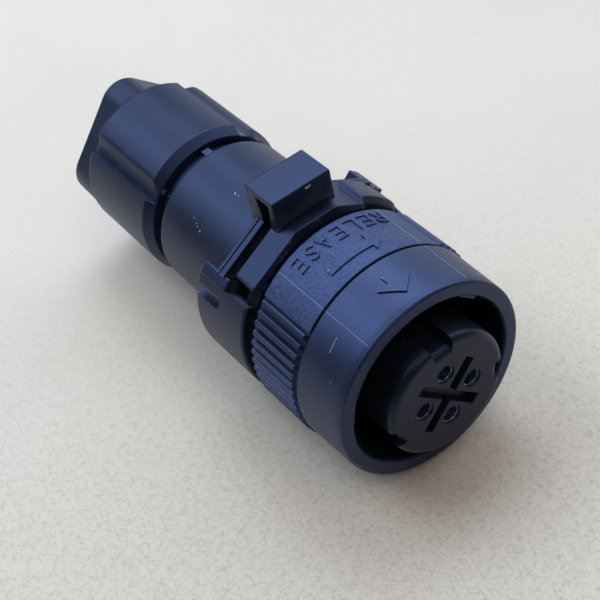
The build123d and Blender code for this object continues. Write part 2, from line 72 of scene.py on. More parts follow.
# Plug coordinates: x along the axis in mm from the coupling ring's front face, angle from the top
# towards +Y, radius from the axis.
@dataclass(frozen=True)
class PlugAxis:
    """Where the plug's own axis lies in the frame, in mm."""

    front_x: float
    height: float

    @classmethod
    def from_frame(cls) -> "PlugAxis":
        """Read the axis from the coupling ring's box, which is centred on it."""
        low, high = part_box("coupling_ring")
        return cls(high.x / MM, (low.z + high.z) / 2 / MM)

    def place(self, x: Array, angle: Array, radius: Array) -> Array:
        """Turn plug coordinates into points of the frame.

        Args:
            x: stations along the axis, mm.
            angle: angles round the axis, radians.
            radius: distances from the axis, mm.

        Returns:
            Points in metres, with one more dimension of length 3.
        """
        x, angle, radius = np.broadcast_arrays(x, angle, radius)
        return self.place_flat(x, radius * np.sin(angle), radius * np.cos(angle))

    def place_flat(self, x: Array, y: Array, z: Array) -> Array:
        """Turn plug coordinates (x, y, z about the axis, mm) into points of the frame in metres."""
        x, y, z = np.broadcast_arrays(x, y, z)
        return np.stack([x + self.front_x, y, z + self.height], axis=-1) * MM


def smooth(edge_low: float, edge_high: float, value: Array) -> Array:
    """Ease from 0 to 1 as value goes from one edge to the other: 3t^2 - 2t^3."""
    t = np.clip((value - edge_low) / (edge_high - edge_low), 0.0, 1.0)
    return t * t * (3.0 - 2.0 * t)


def band(low: float, high: float, soft: float, value: Array) -> Array:
    """One between low and high, easing to 0 outside over a soft edge."""
    return smooth(low - soft, low, value) * (1.0 - smooth(high, high + soft, value))


def soft_least(sharpness: float, a: Array, b: Array) -> Array:
    """The lesser of two values with the corner between them eased: -log(exp(-k a) + exp(-k b)) / k."""
    return -np.logaddexp(-sharpness * a, -sharpness * b) / sharpness


def samples(*runs: tuple[float, float, float]) -> Array:
    """Sorted stations from runs of (from, to, step), ends included and doubles removed."""
    parts = [np.linspace(a, b, max(2, int(round(abs(b - a) / step)) + 1)) for a, b, step in runs]
    return np.unique(np.round(np.concatenate(parts), 5))


def rounded_loop(corners: Corners) -> Array:
    """A closed outline, or many at once, whose corners are arcs.

    A corner of radius r is cut back r / tan(half its angle) on both sides, and its arc is a quadratic
    curve through the cut points with the corner as its control point. A guard point just past each end
    of an arc, at most a share of the flat away, keeps the flats beside it flat.

    Args:
        corners: (a, b) or (a, b, radius) in order. A value can be an array with an entry for each outline.

    Returns:
        Points as an array of shape (points, 2), or (outlines, points, 2).
    """
    values = [value for corner in corners for value in (*corner, 0.0)[:3]]
    table = np.stack(np.broadcast_arrays(*values), axis=-1).astype(float)
    table = table.reshape(*table.shape[:-1], len(corners), 1, 3)
    points, radii = table[..., :2], table[..., 2:]
    back, ahead = (np.roll(points, step, axis=-3) - points for step in (1, -1))
    back_length, ahead_length = (np.linalg.norm(side, axis=-1, keepdims=True) for side in (back, ahead))
    u, v = back / back_length, ahead / ahead_length
    half = 0.5 * np.arccos(np.clip(np.sum(u * v, axis=-1, keepdims=True), -1.0, 1.0))
    cut = radii / np.tan(half)
    guard_back = np.clip(GUARD_SHARE * (back_length - cut - np.roll(cut, 1, axis=-3)), 0.0, GUARD_MM)
    guard_ahead = np.clip(GUARD_SHARE * (ahead_length - cut - np.roll(cut, -1, axis=-3)), 0.0, GUARD_MM)
    start, end = points + u * cut, points + v * cut
    t = np.linspace(0.0, 1.0, ARC_STEPS)[:, None]
    arcs = (1 - t) ** 2 * start + 2 * t * (1 - t) * points + t ** 2 * end
    arcs = np.concatenate([start + u * guard_back, arcs, end + v * guard_ahead], axis=-2)
    parts = [(arcs if len(corner) > 2 else points)[..., k, :, :] for k, corner in enumerate(corners)]
    return np.concatenate(parts, axis=-2)


def segments_distance(a: Array, b: Array, strokes: Sequence[Polyline]) -> Array:
    """Distance from points to the nearest of some polylines.

    A point's foot on a segment lies at a share of its length, kept between 0 and 1.

    Args:
        a: first coordinates of the points, mm.
        b: second coordinates of the points, mm.
        strokes: polylines of (a, b) points, mm.

    Returns:
        Distances, mm.
    """
    best = np.full(np.broadcast(a, b).shape, np.inf)
    for stroke in strokes:
        for (a0, b0), (a1, b1) in zip(stroke[:-1], stroke[1:]):
            da, db = a1 - a0, b1 - b0
            t = np.clip(((a - a0) * da + (b - b0) * db) / (da * da + db * db), 0.0, 1.0)
            best = np.minimum(best, np.hypot(a - a0 - t * da, b - b0 - t * db))
    return best


@dataclass
class Surface:
    """A grid of points with flags for how it closes.

    Attributes:
        points: array of shape (rows, columns, 3), metres.
        closed_rows: the last row joins the first.
        capped: the first and last row are closed by a flat face.
        marks: named values from 0 to 1 at the points, kept as mesh attributes.
    """

    points: Array
    closed_rows: bool = False
    capped: bool = False
    marks: dict[str, Array] = field(default_factory=dict)

    def faces(self, first: int) -> list[list[int]]:
        """Join each point to its neighbours, with the last column next to the first.

        Args:
            first: number of the grid's first vertex in the mesh.

        Returns:
            Faces as lists of vertex numbers.
        """
        rows, columns = self.points.shape[:2]
        row = np.arange(rows if self.closed_rows else rows - 1)
        r0, c0 = np.meshgrid(row, np.arange(columns), indexing="ij")
        r1, c1 = (r0 + 1) % rows, (c0 + 1) % columns
        corners = [r0 * columns + c0, r0 * columns + c1, r1 * columns + c1, r1 * columns + c0]
        faces = (np.stack(corners, axis=-1).reshape(-1, 4) + first).tolist()
        if self.capped:
            last = first + (rows - 1) * columns
            faces.append(list(range(first, first + columns))[::-1])
            faces.append(list(range(last, last + columns)))
        return faces


@dataclass
class Piece:
    """Base of the sub-assemblies: joins surfaces to one mesh and puts it on its body."""

    SHARP_ANGLE: ClassVar[float] = radians(38.0)
    MERGE_DISTANCE: ClassVar[float] = 2e-6

    axis: PlugAxis

    def make(self, name: str, surfaces: Sequence[Surface], body: str, slot: str,
             material: bpy.types.Material, node: str) -> None:
        """Join surfaces to an object that rides on a body and stands for a CAD node.

        Args:
            name: the piece's name.
            surfaces: closed grids that make up the piece.
            body: the body that it moves with.
            slot: the record's material slot; not used.
            material: its finish.
            node: the CAD node that it replaces.
        """
        firsts = np.cumsum([0] + [s.points.shape[0] * s.points.shape[1] for s in surfaces])
        points = np.concatenate([s.points.reshape(-1, 3) for s in surfaces])
        faces = [face for s, first in zip(surfaces, firsts) for face in s.faces(int(first))]
        mesh = bpy.data.meshes.new(name)
        mesh.from_pydata(points, [], faces)
        for mark in sorted({key for s in surfaces for key in s.marks}):
            values = [s.marks.get(mark, np.zeros(s.points.shape[:2])).reshape(-1) for s in surfaces]
            mesh.attributes.new(mark, "FLOAT", "POINT").data.foreach_set("value", np.concatenate(values))
        self.clean(mesh)
        mesh.materials.append(material)
        piece = bpy.data.objects.new(name, mesh)
        bpy.context.scene.collection.objects.link(piece)
        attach(piece, body)
        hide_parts(node)
        log.info("%s: %d faces on %s", name, len(mesh.polygons), body)

    def clean(self, mesh: bpy.types.Mesh) -> None:
        """Merge doubles at poles and seams, turn faces outwards and mark sharp edges.

        Args:
            mesh: the mesh to change.
        """
        work = bmesh.new()
        work.from_mesh(mesh)
        bmesh.ops.remove_doubles(work, verts=work.verts, dist=self.MERGE_DISTANCE)
        bmesh.ops.recalc_face_normals(work, faces=work.faces)
        work.to_mesh(mesh)
        work.free()
        mesh.shade_smooth()
        mesh.set_sharp_from_angle(angle=self.SHARP_ANGLE)

    def turned(self, corners: Corners, columns: int = 160, closed: bool = True,
               beside: Range = (0.0, 0.0)) -> Surface:
        """A section (x, radius, round) turned all round the axis or round a line beside it.

        Args:
            corners: the section's corners in order.
            columns: steps round the axis.
            closed: the last corner joins the first; otherwise both lie on the axis as poles.
            beside: y and z of the line, mm.

        Returns:
            The closed surface.
        """
        loop = rounded_loop(corners)
        angle = np.linspace(0.0, 2 * pi, columns, endpoint=False)[None]
        y = beside[0] + loop[:, 1:] * np.sin(angle)
        z = beside[1] + loop[:, 1:] * np.cos(angle)
        return Surface(self.axis.place_flat(loop[:, :1], y, z), closed_rows=closed)

    def swept(self, loops: Array, degrees: Array) -> Surface:
        """Sections (x, radius) carried round the axis, with closed ends.

        Args:
            loops: array (sections, points, 2), mm.
            degrees: the angle of each section.

        Returns:
            The closed surface.
        """
        points = self.axis.place(loops[..., 0], np.radians(degrees)[:, None], loops[..., 1])
        return Surface(points, capped=True)

    def slab(self, outline: Array, half: float, edge: float, turn: float = 0.0,
             middle: float = 0.0) -> Surface:
        """An outline (x, z) carried across y and drawn in by a quarter round at both ends.

        Near an end the outline moves inwards by edge (1 - cos t) while y runs on by edge sin t. The whole
        is then turned round the axis.

        Args:
            outline: clockwise points (x, z) about the axis, mm.
            half: half the width across, mm.
            edge: round of the two ends, mm.
            turn: angle round the axis, radians.
            middle: y of the slab's middle before turning, mm.

        Returns:
            The closed surface.
        """
        ahead = np.roll(outline, -1, axis=0) - np.roll(outline, 1, axis=0)
        inward = np.stack([ahead[:, 1], -ahead[:, 0]], 1)
        inward /= np.maximum(np.linalg.norm(inward, axis=1, keepdims=True), TINY)
        t = np.linspace(0.0, pi / 2, ARC_STEPS)
        flat = half - edge
        reach = np.concatenate([[flat - min(GUARD_MM, GUARD_SHARE * flat)], flat + edge * np.sin(t)])
        drawn = np.concatenate([[0.0], edge * (1 - np.cos(t))])
        y = middle + np.concatenate([-reach[::-1], reach])[:, None]
        section = outline + inward * np.concatenate([drawn[::-1], drawn])[:, None, None]
        x, z = section[..., 0], section[..., 1]
        points = self.axis.place_flat(x, y * cos(turn) + z * sin(turn), z * cos(turn) - y * sin(turn))
        return Surface(points, capped=True)

    def stacked(self, rows: Sequence[tuple[Array, Array]], angle: Array, closed: bool) -> Surface:
        """Runs of rows (x, radius) round the axis, one behind the other.

        Args:
            rows: stations and radii, each a column or a whole grid, mm.
            angle: one row of angles, radians.
            closed: the last row joins the first.

        Returns:
            The surface.
        """
        x = np.concatenate([x + 0 * angle for x, _ in rows])
        radius = np.concatenate([radius + 0 * angle for _, radius in rows])
        return Surface(self.axis.place(x, angle, radius), closed_rows=closed)


class Glyph(Enum):
    """Plain stroke letters and digits in a box one wide and one high."""

    R = [[(0.05, 0), (0.05, 1), (0.6, 1), (0.85, 0.85), (0.85, 0.65), (0.6, 0.5), (0.05, 0.5)],
         [(0.45, 0.5), (0.9, 0)]]
    E = [[(0.85, 0), (0.05, 0), (0.05, 1), (0.85, 1)], [(0.05, 0.52), (0.7, 0.52)]]
    L = [[(0.05, 1), (0.05, 0), (0.8, 0)]]
    A = [[(0, 0), (0.47, 1), (0.95, 0)], [(0.17, 0.35), (0.78, 0.35)]]
    S = [[(0.85, 0.85), (0.6, 1), (0.3, 1), (0.08, 0.8), (0.3, 0.56), (0.6, 0.47), (0.85, 0.24), (0.6, 0),
          (0.3, 0), (0.05, 0.15)]]
    ONE = [[(0.2, 0.8), (0.5, 1), (0.5, 0)]]
    TWO = [[(0.1, 0.8), (0.25, 0.97), (0.6, 0.97), (0.8, 0.75), (0.7, 0.5), (0.1, 0), (0.85, 0)]]
    THREE = [[(0.1, 1), (0.8, 1), (0.45, 0.6), (0.75, 0.5), (0.8, 0.25), (0.6, 0.02), (0.1, 0.08)]]
    FOUR = [[(0.65, 0), (0.65, 1), (0.08, 0.3), (0.9, 0.3)]]

    def strokes(self, left: float, low: float, width: float, height: float) -> list[Polyline]:
        """The glyph's polylines in a box of a given place and size."""
        return [[(left + a * width, low + b * height) for a, b in line] for line in self.value]


# Shading
class Sock:
    """A shader value that can be used in Python expressions."""

    def __init__(self, board: "Board", socket: Any) -> None:
        """Wrap an output socket of a node on a board."""
        self.board = board
        self.socket = socket

    def _math(self, operation: str, *values: Any) -> "Sock":
        """Add one Math node."""
        return self.board.node("ShaderNodeMath", {"operation": operation}, dict(enumerate(values)))

    def __add__(self, other: Any) -> "Sock":
        """Sum."""
        return self._math("ADD", self, other)

    def __sub__(self, other: Any) -> "Sock":
        """Difference."""
        return self._math("SUBTRACT", self, other)

    def __rsub__(self, other: Any) -> "Sock":
        """Difference from a number."""
        return self._math("SUBTRACT", other, self)

    def __mul__(self, other: Any) -> "Sock":
        """Product."""
        return self._math("MULTIPLY", self, other)

    __radd__ = __add__
    __rmul__ = __mul__

    def clamp(self) -> "Sock":
        """The value kept between 0 and 1."""
        return self.board.node("ShaderNodeClamp", {}, {"Value": self})

    def ease(self, low: float, high: float) -> "Sock":
        """Ease from 0 to 1 as the value goes from low to high."""
        return self.board.node("ShaderNodeMapRange", {"interpolation_type": "SMOOTHSTEP"},
                               {"Value": self, "From Min": low, "From Max": high})


class Board:
    """One material's node tree."""

    def __init__(self, name: str) -> None:
        """Start a material with a Principled shader.

        Args:
            name: the material's name.
        """
        self.material = bpy.data.materials.new(name)
        self.material.use_nodes = True
        self.tree = self.material.node_tree
        self.shader = self.tree.nodes["Principled BSDF"]
        self.object_coords = self.node("ShaderNodeTexCoord", {}, {}, "Object")

    def node(self, kind: str, settings: dict[str, Any], inputs: dict[Any, Any], output: Any = 0) -> Sock:
        """Add a node.

        Args:
            kind: the node's type.
            settings: properties, set first.
            inputs: values or Socks by socket name or number.
            output: which output to return.

        Returns:
            The chosen output.
        """
        made = self.tree.nodes.new(kind)
        for key, value in settings.items():
            setattr(made, key, value)
        for key, value in inputs.items():
            self.feed(made.inputs[key], value)
        return Sock(self, made.outputs[output])

    def feed(self, socket: Any, value: Any) -> None:
        """Link a Sock to a socket, or set a plain value on it.

        Args:
            socket: the input.
            value: a Sock or what the socket takes.
        """
        if isinstance(value, Sock):
            self.tree.links.new(value.socket, socket)
        else:
            socket.default_value = value

    def noise(self, size_mm: float, detail: float = 2.0, vector: Sock | None = None,
              output: str = "Fac") -> Sock:
        """Noise of a feature size in mm, on Object coordinates or a vector made from them."""
        inputs = {"Vector": vector or self.object_coords, "Scale": 1 / (size_mm * MM), "Detail": detail}
        return self.node("ShaderNodeTexNoise", {}, inputs, output)

    def mapped(self, vector: Sock, **sockets: Any) -> Sock:
        """A vector turned or scaled by a Mapping node."""
        return self.node("ShaderNodeMapping", {}, {"Vector": vector, **sockets})

    def combined(self, operation: str, output: str, *values: Any) -> Sock:
        """The result of a Vector Math node."""
        return self.node("ShaderNodeVectorMath", {"operation": operation}, dict(enumerate(values)), output)

    def mark(self, name: str) -> Sock:
        """A mark kept on the mesh, 0 where the mesh has none."""
        return self.node("ShaderNodeAttribute", {"attribute_name": name}, {}, "Fac")

    def blend(self, factor: Any, first: Any, second: Any) -> Sock:
        """Mix two colours, which are the node's sockets 6 and 7 and its output 2."""
        return self.node("ShaderNodeMix", {"data_type": "RGBA"}, {"Factor": factor, 6: first, 7: second}, 2)

    def bump(self, height: Sock, distance_mm: float, strength: float) -> Sock:
        """A normal from a height, whose full step is a distance in mm."""
        inputs = {"Height": height, "Distance": distance_mm * MM, "Strength": strength}
        return self.node("ShaderNodeBump", {}, inputs, "Normal")

    def surface(self, **sockets: Any) -> bpy.types.Material:
        """Feed the Principled shader.

        Args:
            sockets: values or Socks by socket name, with _ for a space.

        Returns:
            The finished material.
        """
        for name, value in sockets.items():
            self.feed(self.shader.inputs[name.replace("_", " ")], value)
        return self.material


@dataclass(frozen=True)
class PaleSpot:
    """One pale spot: station and radius on the plug, angle in degrees, size in mm."""

    x: float
    degrees: float
    radius: float
    size: float


# Dusty specks on the body tube, then three spots on the front of the bridge that paint the glint of light
# caught in a small nick.
DUST_AND_GLINT = (
    PaleSpot(-44.69, -12.6, TUBE_RADIUS, 0.24),
    PaleSpot(-43.8, -12.3, TUBE_RADIUS, 0.13),
    PaleSpot(-48.83, -43.7, TUBE_RADIUS, 0.13),
    PaleSpot(-47.7, -45.7, TUBE_RADIUS, 0.15),
    PaleSpot(-47.15, -47.2, TUBE_RADIUS, 0.17),
    PaleSpot(-46.19, -48.5, TUBE_RADIUS, 0.22),
    PaleSpot(BRIDGE_FRONT, 2.3, 22.55, 0.28),
    PaleSpot(BRIDGE_FRONT, 3.2, 22.5, 0.34),
    PaleSpot(BRIDGE_FRONT, 4.1, 22.6, 0.28))


@dataclass(frozen=True)
class MouldedPlastic:
    """Satin black moulding: fine grain, faint flow marks, dusty specks, and lighter edges, partly rubbed and
    partly a painted edge highlight.

    Sizes ending in mm are those of features. A range is where a mask eases from 0 to 1, and a share,
    height or rough is how much a mask adds.
    """

    name: str
    axis: PlugAxis
    spots: tuple[PaleSpot, ...] = ()
    colour: Colour = (0.0052, 0.0068, 0.014, 1.0)
    # Lighter tone of the flow marks and of the edges, where it is partly rubbing and partly a painted edge
    # highlight.
    worn_and_highlight: Colour = (0.12, 0.15, 0.23, 1.0)
    # Colour of the grained panel on the ring's top: partly its textured finish, partly a painted blue sky
    # reflection.
    panel: Colour = (0.032, 0.046, 0.100, 1.0)
    # Specular tint: a painted blue sky reflection, which turns the highlights blue as a blue sky would.
    sky_reflection_tint: Colour = (0.31, 0.44, 1.0, 1.0)
    # Colour of dusty specks and scuffs, also used for the painted glint at the bridge's front.
    dust_and_glint: Colour = (0.46, 0.47, 0.50, 1.0)
    roughness: float = 0.42
    index: float = 1.58
    flow_mm: float = 9.0
    flow_range: Range = (0.3, 0.7)
    flow_share: float = 0.05
    flow_rough: float = 0.12
    grain_mm: float = 0.16
    grain_height: float = 0.35
    panel_grain_mm: float = 0.52
    panel_grain_range: Range = (0.35, 0.6)
    panel_grain_height: float = 6.0
    panel_share: Range = (0.3, 0.7)
    panel_rough: float = 0.08
    edge_range: Range = (0.53, 0.62)
    rub_and_highlight_mm: float = 2.2
    rub_and_highlight_range: Range = (0.30, 0.6)
    rub_and_highlight_share: float = 0.7
    speck_mm: float = 0.7
    speck_range: Range = (0.79, 0.82)
    cluster_mm: float = 6.0
    cluster_range: Range = (0.55, 0.70)
    speck_share: float = 0.5
    speck_rough: float = 0.2
    spot_core: float = 0.4
    bump_mm: float = 0.02
    bump_strength: float = 0.5

    def speckled(self, board: Board) -> Sock:
        """Mask of the pale spots: fine random specks, and each spot as a soft ball cut by the surface; those
        at the bridge's front are a painted glint.

        Args:
            board: the material's node tree.

        Returns:
            The mask.
        """
        specks = board.noise(self.speck_mm, 0.0).ease(*self.speck_range)
        mask = specks * board.noise(self.cluster_mm, 1.0).ease(*self.cluster_range) * self.speck_share
        for spot in self.spots:
            centre = self.axis.place(spot.x, np.radians(spot.degrees), spot.radius)
            far = board.combined("DISTANCE", "Value", board.object_coords, tuple(centre))
            mask = mask + far.ease(spot.size * MM, spot.size * MM * self.spot_core)
        return mask

    def material(self) -> bpy.types.Material:
        """Build the finish: flow marks, the panel's grain and tone, lighter edges with a painted edge
        highlight, and pale spots over the plain colour.

        Returns:
            The material.
        """
        board = Board(self.name)
        flow = board.noise(self.flow_mm, 3.0)
        grain = board.noise(self.grain_mm)
        coarse = board.noise(self.panel_grain_mm, 1.0)
        panel = board.mark("panel")
        specks = self.speckled(board)
        # Convex edges take a lighter colour: partly rubbed edges, partly a painted edge highlight.
        edges = board.node("ShaderNodeNewGeometry", {}, {}, "Pointiness").ease(*self.edge_range)
        rub_and_highlight = edges * board.noise(self.rub_and_highlight_mm, 3.0).ease(*self.rub_and_highlight_range) * self.rub_and_highlight_share
        # The painted edge highlight and the rubbing are kept off the grained panel and off marks flagged
        # bare, such as the push arrow.
        rub_and_highlight = rub_and_highlight * (1 - panel) * (1 - board.mark("bare"))
        base, varied = self.panel_share
        grained = panel * (base + varied * coarse.ease(*self.panel_grain_range))
        colour = board.blend(flow.ease(*self.flow_range) * self.flow_share, self.colour, self.worn_and_highlight)
        # The panel's lighter blue is partly its texture and partly a painted blue sky reflection.
        colour = board.blend(grained, colour, self.panel)
        colour = board.blend(rub_and_highlight, colour, self.worn_and_highlight)
        # Specks, scuffs and the painted glint at the bridge's front take the pale colour.
        colour = board.blend((specks + board.mark("scuff")).clamp(), colour, self.dust_and_glint)
        rough = self.roughness + (flow - 0.5) * self.flow_rough
        rough = rough + panel * self.panel_rough + specks * self.speck_rough
        height = grain * (1 - panel) * self.grain_height + coarse * panel * self.panel_grain_height
        # The specular tint paints a blue sky reflection into every highlight.
        return board.surface(Base_Color=colour, Roughness=rough.clamp(), IOR=self.index,
                             Specular_Tint=self.sky_reflection_tint,
                             Normal=board.bump(height, self.bump_mm, self.bump_strength))


@dataclass(frozen=True)
class BlackRubber:
    """Matt sealing rubber with a dusty bloom."""

    name: str
    colour: Colour = (0.010, 0.010, 0.011, 1.0)
    bloom: Colour = (0.035, 0.035, 0.036, 1.0)
    roughness: float = 0.72
    cloud_mm: float = 3.0
    cloud_range: Range = (0.35, 0.75)
    cloud_rough: float = 0.2
    grain_mm: float = 0.2
    bump_mm: float = 0.015
    bump_strength: float = 0.6

    def material(self) -> bpy.types.Material:
        """Build the finish: a cloudy bloom over the plain colour.

        Returns:
            The material.
        """
        board = Board(self.name)
        cloud = board.noise(self.cloud_mm, 4.0)
        normal = board.bump(board.noise(self.grain_mm), self.bump_mm, self.bump_strength)
        return board.surface(Base_Color=board.blend(cloud.ease(*self.cloud_range), self.colour, self.bloom),
                             Roughness=(self.roughness + (cloud - 0.5) * self.cloud_rough).clamp(),
                             Normal=normal)


@dataclass(frozen=True)
class PlatedMetal:
    """Turned metal with fine lathe lines, plated or bare."""

    name: str
    # The plate's blue cast, and the cool cast of its tarnish, are a painted sky reflection that makes the
    # contacts' glints blue-white; the tarnish patches are real stains.
    colour: Colour = (0.56, 0.63, 0.78, 1.0)
    tarnish: Colour = (0.34, 0.38, 0.46, 1.0)
    roughness: float = 0.24
    line_mm: float = 0.09
    line_scale: tuple[float, float, float] = (1.0, 0.02, 0.02)
    line_rough: float = 0.15
    stain_mm: float = 1.6
    stain_range: Range = (0.5, 0.8)
    stain_share: float = 0.5
    stain_rough: float = 0.15
    bump_mm: float = 0.002
    bump_strength: float = 0.4

    def material(self) -> bpy.types.Material:
        """Build the finish: noise drawn out round the axis makes the lathe lines.

        Returns:
            The material.
        """
        board = Board(self.name)
        lines = board.noise(self.line_mm, 1.0, board.mapped(board.object_coords, Scale=self.line_scale))
        stain = board.noise(self.stain_mm, 3.0).ease(*self.stain_range)
        rough = self.roughness + (lines - 0.5) * self.line_rough + stain * self.stain_rough
        return board.surface(Base_Color=board.blend(stain * self.stain_share, self.colour, self.tarnish),
                             Metallic=1.0, Roughness=rough.clamp(),
                             Normal=board.bump(lines, self.bump_mm, self.bump_strength))


@dataclass(frozen=True)
class PaleBoard:
    """The plain pale floor: warm card with short faint fibres that lie every way, plainer at the back."""

    name: str
    colour: Colour = (0.775, 0.665, 0.555, 1.0)
    fibre: Colour = (0.50, 0.41, 0.31, 1.0)
    roughness: float = 0.85
    cloud_mm: float = 40.0
    cloud_range: Range = (0.3, 0.75)
    cloud_share: float = 0.10
    fibre_mm: float = 0.5
    fibre_stretch: float = 0.26
    fibre_turns: tuple[float, ...] = (0.3, 1.4, 2.5)
    fibre_range: Range = (0.48, 0.70)
    bend_mm: float = 3.0
    bend_reach_mm: float = 1.2
    towards_eye: tuple[float, float, float] = (0.892, -0.453, 0.0)
    near_range: Range = (-0.05, 0.06)
    near_share: float = 0.20
    far_share: float = 0.05
    tooth_mm: float = 0.6
    bump_mm: float = 0.03
    bump_strength: float = 0.4

    def material(self) -> bpy.types.Material:
        """Build the finish: noise drawn out along three directions, warped, makes the fibres.

        Returns:
            The material.
        """
        board = Board(self.name)
        cloud = board.noise(self.cloud_mm, 3.0).ease(*self.cloud_range)
        bend = board.noise(self.bend_mm, output="Color")
        reach = self.bend_reach_mm * MM
        warped = board.combined("MULTIPLY_ADD", "Vector", bend, (reach, reach, 0.0), board.object_coords)
        fibres = 0.0
        for turn in self.fibre_turns:
            along = board.mapped(warped, Rotation=(0.0, 0.0, turn))
            drawn = board.mapped(along, Scale=(self.fibre_stretch, 1.0, 1.0))
            fibres = board.noise(self.fibre_mm, 1.0, drawn).ease(*self.fibre_range) + fibres
        near = board.combined("DOT_PRODUCT", "Value", board.object_coords, self.towards_eye)
        strength = near.ease(*self.near_range) * self.near_share + self.far_share
        shade = cloud * self.cloud_share + fibres * strength
        normal = board.bump(board.noise(self.tooth_mm, 3.0), self.bump_mm, self.bump_strength)
        return board.surface(Base_Color=board.blend(shade.clamp(), self.colour, self.fibre),
                             Roughness=self.roughness, Normal=normal)


@dataclass(frozen=True)
class Finishes:
    """Every finish of the plug, made once."""

    plastic: bpy.types.Material
    ring: bpy.types.Material
    face: bpy.types.Material
    rubber: bpy.types.Material
    plated: bpy.types.Material
    steel: bpy.types.Material
    spring: bpy.types.Material

    @classmethod
    def make(cls, axis: PlugAxis) -> "Finishes":
        """Build all finishes.

        Args:
            axis: the plug's axis, for the places of the pale spots.

        Returns:
            The finishes.
        """
        # The insert's finish: a paler painted blue sky reflection in its specular tint, and a near-black edge
        # tone.
        face = MouldedPlastic("insert_plastic", axis, colour=(0.006, 0.007, 0.011, 1.0),
                              worn_and_highlight=(0.010, 0.011, 0.014, 1.0), sky_reflection_tint=(0.44, 0.56, 1.0, 1.0),
                              roughness=0.40, index=1.48)
        spring = PlatedMetal("spring_steel", colour=(0.07, 0.07, 0.08, 1.0),
                             tarnish=(0.04, 0.04, 0.045, 1.0), roughness=0.45)
        return cls(
            plastic=MouldedPlastic("moulded_plastic", axis, spots=DUST_AND_GLINT).material(),
            ring=MouldedPlastic("ring_plastic", axis, roughness=0.44, index=1.8).material(),
            face=face.material(),
            rubber=BlackRubber("seal_rubber").material(),
            plated=PlatedMetal("plated_contact", roughness=0.20).material(),
            steel=PlatedMetal("bright_steel", colour=(0.5, 0.5, 0.5, 1.0), roughness=0.3).material(),
            spring=spring.material())


# Sub-assemblies, with lengths in mm and angles in degrees
class Zone(Enum):
    """Parts of the coupling ring's section."""

    PLAIN = 0
    REAR_SKIN = 1
    BORE = 2


